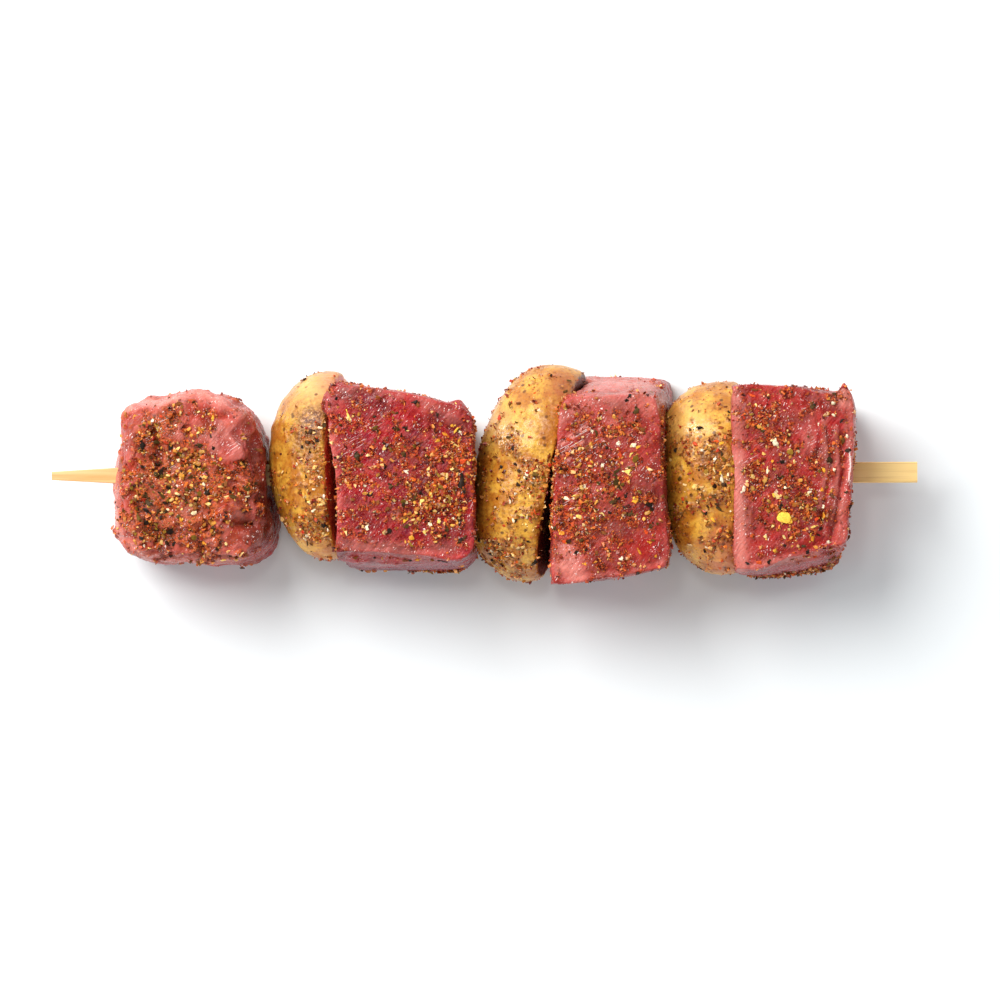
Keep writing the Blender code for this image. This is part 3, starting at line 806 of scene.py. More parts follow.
def shapePotato(choice):
    piece = smoothCopy(choice["node"], choice["node"] + "_half", potatoShape)
    food = Food(piece, choice["node"])
    shape, seed = potatoShape, choice["seed"]
    food.settle()
    for x, y, z, reach, depth in choice["dents"]:
        food.swell(-depth * fading(food.awayFrom(x, y, z), reach))
    food.settle()
    flat = between(food.out[:, 0], 0.82, 0.95)
    skin = 1 - flat
    food.swell(0.1 + shape["swell"] * layered(food.at / shape["swellSize"], seed) * skin)
    rings = np.hypot(food.at[:, 1], food.at[:, 2] - skewerHeight) + 3.0 * noise(food.at / 7.0, seed + 3)
    wrinkles = np.sin(rings * shape["wrinkleTurns"]) * food.blots(choice["wrinkled"])
    pores = noise(food.at / shape["poreSize"], seed + 9)
    lumps = noise(food.at / shape["lumpSize"], seed + 11)
    rough = shape["wrinkles"] * wrinkles + shape["pores"] * pores + shape["lumps"] * lumps
    food.swell(skin * rough + flat * shape["cutFace"] * noise(food.at / shape["cutSize"], seed + 10))
    food.settle()
    upper = between(food.out[:, 2], -0.2, 0.5)
    layRub(food, choice, flat * 0.8)
    food.store("flesh", flat)
    food.store("crinkle", 0.5 * skin * wrinkles)
    # Painted shade on the cut flesh, set per half: the second and third halves' cut faces lie in shade
    # between the pieces.
    food.store("murk", np.full(len(food.at), choice["murk"]))
    # The creamy blots are paler skin, and painted light where the key lamp falls.
    for name in ("cream", "brown", "rosy", "shadow", "shine"):
        food.store(name, food.blots(choice[name]) * upper + 0.1 * (1 - upper))
    return piece


potatoLook = {
    "golden": (188, 116, 32), "light": (226, 170, 62), "dark": (138, 66, 16), "cream": (238, 192, 112),
    "brown": (86, 36, 20), "freckle": (84, 40, 14), "flesh": (240, 150, 84), "stain": (196, 50, 36),
    "rosy": (200, 104, 74), "crumb": (222, 164, 112), "spark": (255, 236, 208), "murk": (52, 22, 12),
    "paste": (172, 98, 32), "darkPaste": (108, 56, 20), "brightPaste": (228, 156, 64), "roughness": 0.32,
}


def potatoColour(nodes):
    look, mask = potatoLook, nodes.mask
    rub, paste, brown = mask("rub"), mask("paste"), mask("brown")
    broad = nodes.cloud(5.0, detail=3)
    mottled = nodes.cloud(0.9, detail=4, rough=0.6, shift=0.011)
    scabs = nodes.cloud(1.0, detail=3, shift=0.031)
    fine = nodes.cloud(0.5, detail=3, rough=0.6, shift=0.031)
    # Painted highlights: this pattern places the white sparkles laid into the shine patches.
    flash = nodes.cloud((0.5, 0.4, 0.4), turn=60, detail=2, rough=0.6, shift=0.071)
    spots = 1 - nodes.cells(2.4).step(0.12, 0.26)
    drawn = nodes.add("ShaderNodeSeparateColor", None, {"Color": nodes.cells(2.4, output="Color")})
    # As on the beef: darker paste in the hollows and brighter on the knots, painted shade and light over its
    # own colour.
    crust = nodes.layers(look, "darkPaste", [
        (paste.step(0.25, 0.60), "paste"), (paste.step(0.55, 0.85), "brightPaste")])
    # The cut flesh is reddened in patches: meat juice, and painted red light thrown on it by the meat beside
    # it.
    juiceAndBounce = nodes.cloud(3.0, detail=2).step(0.25, 0.55) * 0.9
    # painted shade darkens the cut flesh that lies between the pieces
    flesh = nodes.layers(look, "flesh", [(juiceAndBounce, "stain"), (mask("murk"), "murk")])
    return nodes.layers(look, "golden", [
        (broad.step(0.40, 0.62), "light"),
        (mottled.step(0.46, 0.66) * 0.5, "dark"),
        # creamy patches: paler skin, and painted light on the parts that face the key lamp
        (mask("cream") * (1.1 - mottled * 0.4), "cream"),
        (mask("rosy") * 0.8, "rosy"),
        (mask("shadow") * (0.5 + broad * 0.6), "dark"),
        (brown * scabs.step(0.34, 0.50) * 0.85, "brown"),
        # light flecks in the brown patches: crumbs, and painted sparkle of the wet skin
        (brown * fine.step(0.54, 0.58) * 0.75, "crumb"),
        ((0.15 + brown * 0.6) * (1 - fine.step(0.38, 0.44)), "freckle"),
        (mask("crinkle"), "dark"),
        # painted highlights: white sparkles in the shine patches
        (flash.step(0.54, 0.58) * mask("shine").step(0.2, 0.8) * 0.85, "spark"),
        (spots * drawn.step(0.45, 0.7) * 0.8, "freckle"),
        (rub * 0.7, crust),
        (mask("flesh"), flesh),
    ])


def potatoRoughness(nodes):
    return nodes.cloud(1.5, detail=2) * 0.3 + potatoLook["roughness"] - 0.15


def potatoNormal(nodes):
    fine = nodes.cloud(0.45, detail=2) * (0.3 + nodes.mask("rub") * 0.7 + nodes.mask("brown") * 0.6)
    return nodes.bump(fine + nodes.cloud(1.1, detail=3) * 0.7, 0.28)


potatoFinish = newMaterial(
    "potato", {"Specular IOR Level": 0.35, "Subsurface Weight": 0.1, "Subsurface Radius": (1.0, 0.55, 0.2),
               "Subsurface Scale": 1.0 * mm, "Coat Weight": 0.1, "Coat Roughness": 0.06},
    potatoColour, potatoRoughness, potatoNormal)
potatoPieces = []
for half in (halfOne, halfTwo, halfThree):
    choice = {**usualHalf, **half}
    potato = shapePotato(choice)
    potato.data.materials.append(potatoFinish)
    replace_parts(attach(potato, "root"), choice["node"])
    potatoPieces.append(potato)
    print(choice["node"], "shaped with", len(potato.data.polygons), "faces")


# The rub: crushed spices scattered over all the food, one piece for each kind. Sizes are in millimetres, and
# the most grains that lie on a square millimetre.
usualGrain = {"corners": 11, "flatness": 0.7, "shapes": 8, "tilt": 1.2, "sunk": 0.0, "gloss": 0.35}
# In the dust, paprika and garlic colours the near-white end is painted highlight on a share of the grains.
rubKinds = {
    "rubDust": {
        "mask": "paprika", "most": 6.0, "smallest": 0.22, "largest": 0.6, "power": 1.4,
        "corners": 6, "shapes": 6, "tilt": 1.4, "sunk": 0.1, "seed": 17,
        "colours": [(0.0, (64, 12, 6)), (0.25, (158, 40, 14)), (0.6, (204, 74, 28)), (0.85, (234, 130, 56)),
                    (1.0, (255, 222, 176))]},
    "paprikaGrains": {
        "mask": "paprika", "most": 2.0, "smallest": 0.4, "largest": 1.6, "power": 2.0,
        "corners": 8, "sunk": 0.12, "seed": 3,
        "colours": [(0.0, (80, 18, 8)), (0.3, (156, 48, 18)), (0.6, (200, 84, 30)), (0.85, (228, 136, 56)),
                    (1.0, (250, 200, 132))]},
    "garlicGrains": {
        "mask": "golden", "most": 1.3, "smallest": 0.5, "largest": 1.8, "power": 2.2,
        "flatness": 0.6, "tilt": 1.0, "sunk": 0.18, "seed": 5,
        "colours": [(0.0, (116, 60, 18)), (0.35, (184, 108, 34)), (0.7, (226, 156, 62)),
                    (0.9, (246, 198, 116)), (1.0, (255, 236, 204))]},
    "pepperGrains": {
        "mask": "pepper", "most": 0.4, "smallest": 0.5, "largest": 1.8, "power": 1.8,
        "sunk": 0.2, "gloss": 0.12, "seed": 7,
        "colours": [(0.0, (34, 18, 9)), (0.5, (64, 38, 16)), (0.85, (106, 66, 28)), (1.0, (156, 108, 50))]},
    "herbFlakes": {
        "mask": "herb", "most": 0.3, "smallest": 0.7, "largest": 2.0, "power": 1.6,
        "flatness": 0.22, "shapes": 6, "tilt": 0.6, "gloss": 0.12, "seed": 11,
        "colours": [(0.0, (56, 38, 10)), (0.5, (104, 76, 20)), (1.0, (160, 116, 36))]},
    "chilliFlakes": {
        "mask": "golden", "most": 0.13, "smallest": 0.8, "largest": 1.8, "power": 1.8,
        "flatness": 0.25, "shapes": 6, "tilt": 0.6, "seed": 13,
        "colours": [(0.0, (150, 24, 8)), (0.5, (206, 62, 20)), (1.0, (232, 116, 38))]},
}


def hullOf(points):     # the closed angular shape round some points
    shape = bmesh.new()
    for point in points:
        shape.verts.new(point)
    bmesh.ops.convex_hull(shape, input=shape.verts)
    bmesh.ops.delete(shape, geom=[v for v in shape.verts if not v.link_faces], context="VERTS")
    bmesh.ops.recalc_face_normals(shape, faces=shape.faces)
    return shape


def anyWay(draw):
    return Vector([draw.uniform(-1, 1) for _ in range(3)]).normalized()


def crumbShape(name, corners, flatness, draw):      # an angular crumb one unit across
    points = []
    for _ in range(corners):
        way = anyWay(draw) * draw.uniform(0.38, 0.5)
        points.append((way.x, way.y * draw.uniform(0.6, 1.0), way.z * flatness))
    return bpy.data.objects.new(name, meshOf(hullOf(points), name))


def rubTree(name, numbers, shapes, finish):
    tree, nodes, given = newTree(name, numbers)
    where = nodes.add("GeometryNodeInputNamedAttribute", {"data_type": "FLOAT"}, {"Name": given["Mask"]})
    spread = nodes.add("GeometryNodeDistributePointsOnFaces", {"distribute_method": "RANDOM"}, {
        "Mesh": given["Geometry"], "Density": where * given["Most"], "Seed": given["Seed"]})
    normal = Wire(nodes, spread.socket.node.outputs["Normal"])

    def chance(kind, low, high, seed, output):
        place = {"FLOAT_VECTOR": 0, "FLOAT": 2, "INT": 4}[kind]
        return nodes.add("FunctionNodeRandomValue", {"data_type": kind},
                         {place: low, place + 1: high, "Seed": given["Seed"] + seed}, output=output)

    tilt = given["Tilt"]
    low = nodes.add("ShaderNodeCombineXYZ", None, {"X": tilt * -1.0, "Y": tilt * -1.0, "Z": -math.pi})
    high = nodes.add("ShaderNodeCombineXYZ", None, {"X": tilt, "Y": tilt, "Z": math.pi})
    turn = nodes.add("FunctionNodeEulerToRotation", None, {"Euler": chance("FLOAT_VECTOR", low, high, 1, 0)})
    facing = nodes.add("FunctionNodeAlignRotationToVector", {"axis": "Z"}, {"Vector": normal})
    facing = nodes.add("FunctionNodeRotateRotation", {"rotation_space": "LOCAL"},
                       {"Rotation": facing, "Rotate By": turn})
    share = chance("FLOAT", 0.0, 1.0, 2, 1) ** given["Power"]
    size = given["Smallest"] + (given["Largest"] - given["Smallest"]) * share
    uneven = chance("FLOAT_VECTOR", (0.75, 0.75, 0.75), (1.3, 1.1, 1.1), 3, 0)
    scale = nodes.add("ShaderNodeVectorMath", {"operation": "SCALE"}, {0: uneven, "Scale": size})
    crumbs = bpy.data.collections.new(name + " shapes")
    for shape in shapes:
        crumbs.objects.link(shape)
    picked = nodes.add("GeometryNodeCollectionInfo", None,
                       {"Collection": crumbs, "Separate Children": True, "Reset Children": True})
    lift = nodes.add("ShaderNodeVectorMath", {"operation": "SCALE"},
                     {0: normal, "Scale": size * (0.3 - given["Sunk"])})
    points = nodes.add("GeometryNodeSetPosition", None, {"Geometry": spread, "Offset": lift})
    grains = nodes.add("GeometryNodeInstanceOnPoints", None, {
        "Points": points, "Instance": picked, "Pick Instance": True,
        "Instance Index": chance("INT", 0, len(shapes) - 1, 4, 2), "Rotation": facing, "Scale": scale})
    for attribute, seed in (("hue", 5), ("shade", 6)):
        grains = nodes.add("GeometryNodeStoreNamedAttribute", {"data_type": "FLOAT", "domain": "INSTANCE"}, {
            "Geometry": grains, "Name": attribute, "Value": chance("FLOAT", 0.0, 1.0, seed, 1)})
    endTree(nodes, grains, finish)
    return tree


def rubFinish(name, stops, gloss):
    def colour(nodes):
        base = nodes.add("ShaderNodeValToRGB", {"stops": [(place, tint(*shown)) for place, shown in stops]},
                         {"Fac": nodes.mask("hue")})
        dim = nodes.mask("shade") * 0.75 + 0.55
        speck = nodes.cloud(0.3, detail=2).step(0.3, 0.7) * 0.4 + 0.8
        grey = nodes.add("ShaderNodeCombineColor", None,
                         {axis: dim * speck for axis in ("Red", "Green", "Blue")})
        return nodes.blend(1.0, base, grey, "MULTIPLY")

    def roughness(nodes):
        return nodes.mask("shade") * 0.3 + 0.5 - gloss

    def normal(nodes):
        return nodes.bump(nodes.cloud(0.35, detail=2), 0.08)

    return newMaterial(name, {"Specular IOR Level": gloss, "Subsurface Weight": 0.08,
                              "Subsurface Radius": (1.0, 0.5, 0.2), "Subsurface Scale": 0.4 * mm,
                              "Coat Weight": gloss * 0.2, "Coat Roughness": 0.06}, colour, roughness, normal)


def scatterRub(kinds, hosts):
    for name, own in kinds.items():
        kind = {**usualGrain, **own}
        draw = np.random.RandomState(kind["seed"])
        shapes = [crumbShape(f"{name}{i}", kind["corners"], kind["flatness"], draw)
                  for i in range(kind["shapes"])]
        numbers = {"Mask": kind["mask"], "Most": kind["most"] / mm**2, "Smallest": kind["smallest"] * mm,
                   "Largest": kind["largest"] * mm, "Power": kind["power"], "Tilt": kind["tilt"],
                   "Sunk": kind["sunk"], "Seed": kind["seed"]}
        tree = rubTree(name, numbers, shapes, rubFinish(name, kind["colours"], kind["gloss"]))
        grains = grown(name, tree, numbers, hosts)
        for shape in shapes:
            bpy.data.objects.remove(shape)
        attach(grains, "root")
        print(name, "scattered:", len(grains.data.polygons), "faces")


def joinedMesh(pieces):
    shape = bmesh.new()
    for piece in pieces:
        shape.from_mesh(piece.data)
    return meshOf(shape, "food")


scatterRub(rubKinds, joinedMesh(beefPieces + potatoPieces))


# The largest flakes are laid one by one: x and y from the middle of the piece's box, length and width, and
# the turn in degrees where it has one.
# The lightest tone is near white: cream crumbs, and painted highlights among the flakes.
flakeTones = {      # each tone's place on the colour ramp, and its colour
    "black": (0.0, (34, 19, 9)), "herb": (0.18, (74, 52, 16)), "brown": (0.36, (128, 70, 28)),
    "chilli": (0.52, (204, 66, 26)), "gold": (0.68, (228, 150, 40)), "yellow": (0.76, (246, 196, 66)),
    "straw": (0.84, (242, 200, 110)), "cream": (1.0, (255, 234, 200)),
}
flakeShape = {      # a main crumb with smaller bits broken off round it, in shares of the flake's own size
    "mainSize": 0.9, "mainDrift": (-0.03, 0.03), "light": (0.3, 1.0), "upright": 0.4, "gloss": 0.16,
    "thickness": (0.35, 0.6), "points": 14, "reach": (0.34, 0.56), "seed": 21,
    "bits": 3, "bitSize": (0.3, 0.55), "bitPlace": (-0.5, 0.5), "bitLean": (-0.5, 0.5),
    "bitLight": (0.6, 1.2), "bitDrift": (-0.16, 0.16),
    "seedTone": "yellow", "seedPoints": 40, "seedReach": (0.46, 0.5), "seedBits": 3, "seedLight": 0.7,
}
flakes = {
    "beef_1": {
        "black": [(-11.7, 7.6, 2.2, 1.8, 20), (-5.2, 7.4, 2.0, 1.6, 40), (4.0, 9.9, 1.4, 0.5, 80),
                  (-7.5, 1.5, 2.4, 1.4, -40), (-12.9, -1, 1.1, 0.9), (-10.8, -7, 2.2, 1.6, 70),
                  (-11.0, -9.8, 2.2, 1.6, 30), (-12, -13.2, 1.6, 1.1, 20), (-5.4, -11.8, 2.0, 1.8, 50),
                  (-4.6, -14.7, 1.3, 1.1), (3.0, -3, 1.9, 1.4, 15), (7.5, -8.5, 1.3, 0.9),
                  (-7.6, -8.6, 1.2, 0.9), (4.6, 7.1, 1.2, 1.0), (3.7, -5.1, 1.1, 0.9)],
        "herb": [(-11.2, -3.6, 1.6, 1.2, 60), (-7.2, -3.6, 2.4, 1.6, 50), (-10.4, -5.4, 2.4, 1.6, 80),
                 (9, -4.1, 2.2, 1.2, 20), (4.6, -10.9, 2.0, 1.6, 20), (-0.2, -2.3, 1.9, 1.2, -20),
                 (1.6, 8, 2.0, 1.3, 30)],
        "brown": [(-12.2, 1.1, 2.6, 1.5, 15), (7.3, -1.0, 2.2, 1.6, -20), (11.8, -17.3, 2.6, 1.1, 80),
                  (-3.2, 17.3, 2.4, 1.2, 20), (16.5, 6.6, 1.9, 1.2, 60), (-13.4, 8.9, 1.8, 1.2),
                  (0.7, 15.4, 1.7, 1.1, 40), (-15.9, -7.6, 1.2, 0.8), (-3.0, 13.2, 1.5, 1.1),
                  (7.9, -2.2, 1.5, 1.1, 50)],
        "gold": [(4.5, 14.1, 1.5, 1.1, 20), (-2.7, 0.9, 1.9, 1.4, 20), (-1.0, 1.8, 1.6, 1.1, 70),
                 (-2.9, -9.1, 1.7, 1.2, 10), (2.3, -14.6, 1.6, 1.3), (-13.5, 14.5, 1.2, 0.9),
                 (1.2, 2.5, 1.4, 1.0), (6.2, 4.6, 1.3, 0.9)],
        "straw": [(-8.3, 11.6, 2.2, 0.8, -25), (-5.6, -2.9, 1.4, 1.1, 30), (-0.9, 5.7, 1.7, 0.9, 30),
                  (6.6, -18.4, 1.5, 1.0), (-11.4, 6.2, 1.6, 0.7, -40)],
    },
    "beef_2": {
        "black": [(-9.6, -21.6, 1.2, 0.9), (-6.2, -21.9, 1.0, 0.8), (2.0, -22.2, 1.6, 0.9),
                  (9.0, -22.4, 3.0, 0.9), (12.2, -21.8, 2.4, 1.0, 10), (-14.7, 18, 1.1, 0.9),
                  (3.5, 17, 2.0, 1.3, -40), (1.1, 11.1, 1.5, 1.2, 40), (-7.0, -4.1, 1.6, 1.3, 20),
                  (4.4, -3.8, 1.2, 1.1), (-2.8, -12.5, 2.1, 1.6, 60), (13.8, -1.7, 3.6, 2.0, 20),
                  (-8.3, 6, 1.2, 1.0), (8.4, 14.2, 1.1, 0.8), (-5.8, 13.8, 1.1, 0.9),
                  (-3.9, 2.4, 1.6, 1.2, 30), (13.5, -14.6, 1.8, 1.4)],
        "herb": [(-10.0, 4.7, 2.2, 1.6, 20), (0.6, 5.2, 1.7, 1.3, 40), (-2.2, -2.4, 2.0, 1.5, 60),
                 (10.6, -12.2, 1.6, 1.1), (1.2, -11.2, 1.8, 1.3, 50), (-0.8, 14.6, 0.9, 0.7)],
        "brown": [(-10.4, -21.8, 1.6, 1.2, 30), (-6.9, -21.6, 1.4, 1.1), (0.6, -21.9, 1.6, 1.2, 20),
                  (6.4, -22.3, 1.6, 1.0), (4.0, 16.4, 1.7, 1.2, 20), (-5.2, 18.2, 1.5, 1.2),
                  (-6.0, 8.4, 1.3, 1.0), (-9.3, 2.6, 1.9, 1.4), (12.9, -6.1, 1.6, 1.2, 30),
                  (-3.1, -7.4, 1.8, 1.2, 20), (-5.2, -5.8, 1.6, 1.2)],
        "chilli": [(14.3, 3.7, 2.7, 2.3, 5), (14.0, 1.6, 1.6, 1.1, 30), (13.9, -4.2, 1.7, 1.3),
                   (-5.6, -1.6, 1.3, 0.9, 40), (10.2, -10.0, 1.5, 1.1, 20), (3.0, -0.6, 1.6, 1.0, 60)],
        "gold": [(-4.2, -21.7, 1.2, 0.9), (3.6, -21.9, 1.5, 1.1), (13.8, -20.6, 1.4, 1.0),
                 (7.9, -2.3, 2.4, 1.1, 50), (6.7, -3.8, 1.7, 1.2, 20), (10.2, 9.7, 1.6, 1.1),
                 (2.4, -14.0, 2.0, 1.5, 40), (12.8, 10.7, 2.6, 0.8, 75), (13.4, 8.2, 1.8, 0.8, 40),
                 (0.9, -10.2, 1.5, 1.1, 10), (8.5, 8.2, 1.2, 0.9), (-4.2, 3.9, 1.0, 0.8),
                 (11.8, 11.7, 1.4, 1.0)],
        "straw": [(-11.8, 13.7, 3.0, 0.8, -4), (13.0, 6.9, 3.4, 0.6, 78), (12.6, 17.6, 2.2, 0.5, -55),
                  (4.9, -5.6, 2.0, 1.4, 30), (1.6, 10.5, 1.0, 0.6, 80), (8.6, -10.2, 1.5, 1.1),
                  (10.5, 0.2, 1.9, 1.2, 30), (5.5, -12.6, 1.5, 1.0)],
        "cream": [(1.3, 1.2, 1.2, 1.1), (-7.8, -11.7, 1.4, 1.3), (6.6, -10.9, 1.6, 1.2),
                  (13.6, 10.2, 1.2, 1.0), (12.0, -9.5, 1.0, 0.8)],
    },
    "beef_3": {
        "black": [(3.7, 19.1, 1.2, 1.0, 20), (2.9, 18, 1.4, 1.0), (-1.5, 7.1, 1.6, 1.0, 20),
                  (0.8, -4.7, 1.7, 1.2), (2.6, -3.9, 1.4, 1.0), (2.6, -6.5, 1.9, 1.0, -20),
                  (-1.0, -7.6, 1.2, 0.9), (-8.8, -16.7, 1.3, 1.1), (-6.3, -16.1, 1.2, 0.8),
                  (5.3, -21.6, 1.4, 1.1), (-12.0, 2.4, 1.2, 1.0), (7.9, -5.8, 2.4, 1.9, 30)],
        "herb": [(5.2, 15.6, 2.3, 1.5, -20), (-4.0, 10.6, 1.9, 0.8, -25), (0.5, 1.8, 2.3, 1.0, -15),
                 (8.3, -10.8, 1.5, 1.2), (3.7, -8.0, 1.9, 1.4, 20), (-7.6, -14, 1.9, 1.2, 40),
                 (-0.6, -3.2, 1.2, 0.7, 80)],
        "brown": [(6.6, 11.3, 1.8, 1.2, 40), (-11.9, 1.6, 1.6, 1.2), (-4.0, -16.8, 1.5, 1.1),
                  (10.6, -9.6, 1.6, 1.1), (-6.4, 6.8, 1.8, 1.2, 20), (-2.4, -12.2, 1.7, 1.1),
                  (-3.6, 13.2, 1.8, 0.9, 20)],
        "chilli": [(-10.4, 9.2, 1.6, 1.1), (1.2, 11.9, 1.5, 1.1), (7.2, -12.2, 1.6, 1.1, 20),
                   (-4.6, -13.4, 1.4, 1.0), (1.4, 5.6, 2.4, 1.6), (-11.5, -14.2, 1.6, 1.0, 60)],
        "gold": [(5.6, 7.3, 2.2, 0.9, -30), (-5.2, 3.7, 1.5, 1.1), (4.8, -4.9, 1.9, 1.4, 60),
                 (8.2, -14.4, 1.1, 0.9), (9.5, -17.6, 1.1, 0.9), (-6.7, -19.4, 1.1, 0.8),
                 (-11.9, -12.2, 1.7, 1.2, 40), (5.7, -16.7, 1.9, 0.8, -15)],
        "straw": [(3.1, 1.8, 2.2, 1.7, 20), (-8.8, -3.8, 2.1, 0.6, 55), (-8.0, -8.5, 2.0, 1.3, 20),
                  (-2.7, -8.0, 1.5, 0.8, 15), (-3.0, 13.9, 1.3, 0.6, 20), (-7.8, 7.0, 1.4, 1.0),
                  (4.0, 5.8, 1.5, 0.7, 40)],
        "cream": [(4.5, 7.7, 1.7, 1.3, 30), (-11.0, -4.3, 1.5, 1.1), (-5.0, 11.0, 1.0, 0.8),
                  (0.9, 8.2, 1.3, 1.0), (-2.6, 3.0, 1.5, 1.0), (1.6, -18.2, 1.3, 1.1),
                  (-6.9, -1.6, 1.3, 1.0)],
    },
    "beef_4": {
        "black": [(-6.0, 18.9, 1.0, 0.8), (10.8, 13.6, 1.1, 0.9), (-2.9, 4.2, 1.9, 1.3, -10),
                  (-0.5, 0.9, 1.0, 0.9), (-3.3, -5.9, 1.9, 1.2, 30), (6.2, -9.2, 1.4, 1.0, 30),
                  (5.8, -11.0, 1.2, 1.0), (-2.4, -14.9, 1.0, 0.8), (2.8, -16.4, 1.5, 1.1),
                  (-10.9, -19, 1.1, 0.8, 80), (-6.1, -18.8, 1.4, 1.1), (-10.6, 8.5, 0.7, 0.6)],
        "herb": [(4.1, 16.7, 1.7, 1.4), (11.2, 9.1, 1.9, 1.3), (-7.5, 11.3, 1.7, 1.0, 20),
                 (7.9, 4.6, 2.3, 1.6, 60), (3.7, 4.4, 1.2, 0.9), (11.9, -2.7, 1.1, 0.9),
                 (1.9, -15.0, 1.5, 0.9)],
        "brown": [(-3.2, 20.3, 1.7, 1.2), (-9.4, 20.7, 2.0, 1.3), (9.2, -17.8, 2.3, 2.0, 40),
                  (-0.4, -18.0, 1.3, 0.8), (-8.0, -6.4, 1.3, 0.9), (3.8, 17.6, 1.5, 1.0)],
        "chilli": [(-9.0, 7.1, 1.3, 0.8, 80), (3.2, -17.0, 2.0, 1.0, 20), (4.6, -17.5, 1.4, 1.0),
                   (-6.9, 11.8, 1.3, 0.8), (-9.6, 19.4, 1.8, 0.9), (4.9, -8.8, 1.4, 1.0),
                   (-8.4, -18.7, 1.6, 1.1)],
        "yellow": [(-2.5, -8.6, 4.0, 3.4, 20)],
        "gold": [(6.1, -2.2, 1.4, 1.1), (4.7, -4.2, 1.7, 0.9, 70), (6.6, -8.1, 1.8, 1.1, 10),
                 (-4.7, -16.1, 1.3, 1.0), (4.0, -13.2, 2.0, 1.2, 20), (6.6, 2.4, 1.5, 1.1),
                 (-5.2, 4.4, 1.2, 0.8, 80)],
        "straw": [(-11.6, 2.2, 2.2, 0.8, 30), (-4.2, -3.5, 2.8, 1.3, 10), (-2.6, -12.8, 1.5, 0.8, 60),
                  (-6.9, -12.8, 1.3, 0.9), (4.2, -10.6, 1.7, 0.7, 20), (-1.4, -11.2, 1.0, 0.8),
                  (-8.8, 17.2, 1.3, 0.6, 60)],
        "cream": [(-4.6, 8.5, 2.3, 1.9, 40), (-6.3, 2.2, 1.6, 0.8, -50), (-11.7, -1.9, 1.9, 1.2, -10),
                  (3.3, -2.7, 1.3, 0.9, 40), (6.4, -6.0, 1.3, 0.9, 20), (7.6, -14.1, 1.2, 1.0),
                  (8.9, 14.9, 1.1, 0.9), (9.0, 2.5, 1.1, 0.8), (5.5, 13.0, 0.9, 0.7)],
    },
    "potato_1": {
        "black": [(1.1, 5.6, 1.8, 1.3, 50), (-0.5, 3.1, 1.1, 0.8, 30), (-2.2, 4.2, 1.1, 0.8),
                  (-1.4, -2.6, 1.5, 0.8, 10), (2.6, -13.8, 1.7, 1.6)],
        "brown": [(3.6, -18.4, 1.7, 0.8, 30), (-4.5, 2.4, 0.9, 0.7), (1.5, 9.4, 1.4, 1.0),
                  (0.0, -10.5, 1.2, 0.8)],
        "chilli": [(-6.1, -8.1, 1.3, 1.0), (-2.6, -6.8, 1.2, 0.9), (2.6, -4.2, 1.3, 0.9)],
        "straw": [(3.0, -15.9, 1.5, 1.0, 30), (2.0, -9.0, 1.4, 1.0), (-0.8, -8.4, 1.1, 0.9),
                  (3.2, -7.6, 1.6, 0.8, 50), (1.2, -17.6, 1.4, 0.8, 20)],
        "cream": [(2.7, -7.2, 1.2, 0.9), (0.3, -5.5, 1.1, 0.8), (1.8, -2.8, 1.2, 1.0), (-3.4, 0.3, 0.9, 0.7)],
    },
    "potato_2": {
        "black": [(-6.5, 1.3, 1.2, 1.0), (-3.8, 5.6, 1.6, 1.1, 40), (4.1, -6, 2.4, 1.4, 60),
                  (3.4, -9, 2.0, 1.4, 80), (4.4, -14.5, 2.0, 1.5), (3.7, -17.5, 2.4, 1.6, 70),
                  (4.1, -20, 2.0, 1.5, 20), (3.8, -23.6, 2.0, 1.6), (-0.4, -15.8, 1.1, 0.8),
                  (-9.0, -18.6, 1.4, 1.0, 30)],
        "herb": [(3.9, -11.5, 2.4, 1.8, 30), (3.2, -13, 1.8, 1.3, 60), (2.2, -19.5, 1.8, 1.2),
                 (4.3, -8.0, 1.6, 1.0, 50), (8.3, 18.5, 1.7, 0.9, 60)],
        "brown": [(-8.2, 17.5, 1.6, 1.3, 60), (-6, 13, 0.8, 0.7), (4.4, 3.5, 1.7, 1.0, 20),
                  (-1.4, -15.2, 1.6, 1.2), (-8.6, -21.3, 1.6, 1.1, -40), (-10.6, -19, 1.6, 1.1, 20),
                  (-2.3, -21.7, 1.4, 1.2), (-10.2, 4.6, 0.8, 0.7)],
        "chilli": [(-5.9, -12.1, 1.1, 0.8, 40), (-12.0, 14.2, 1.8, 1.3, 50), (-2.6, -22.0, 1.0, 0.7),
                   (1.3, 18.2, 0.8, 0.6)],
        "gold": [(2.8, 2.6, 1.3, 1.0), (0.3, -3.4, 1.2, 0.9), (-11.4, 2.0, 1.2, 0.9), (1.6, -8.8, 1.3, 1.0)],
        "straw": [(0.1, -5.5, 1.4, 1.0), (-1.8, -9.8, 1.4, 0.9, 30), (1.4, 0.4, 1.5, 1.0, 40),
                  (-0.9, -11.8, 1.2, 0.9)],
        "cream": [(-0.7, -0.3, 1.5, 1.0, 30), (-1.2, -1.2, 1.0, 0.8), (-3.2, -4.7, 1.0, 0.7, 30),
                  (2.2, 14.3, 1.0, 0.5, -10)],
    },
    "potato_3": {
        "black": [(-0.4, 11.5, 1.7, 1.0), (-0.2, 2.9, 1.2, 0.9), (0.7, -8.1, 1.2, 1.1),
                  (5.3, -1.8, 2.3, 0.8, -10), (0.1, -20.9, 1.2, 0.8, 20), (3.6, -6.9, 1.5, 0.8, 20)],
        "herb": [(4.4, 5.4, 1.6, 1.1, 20), (4.0, -7.1, 2.2, 0.9, 25), (2.6, -4.2, 1.4, 1.0)],
        "brown": [(4.3, 11.5, 1.6, 1.0), (-4.4, 5.5, 2.0, 1.0, 20), (-7.2, 14, 1.5, 0.7, -50),
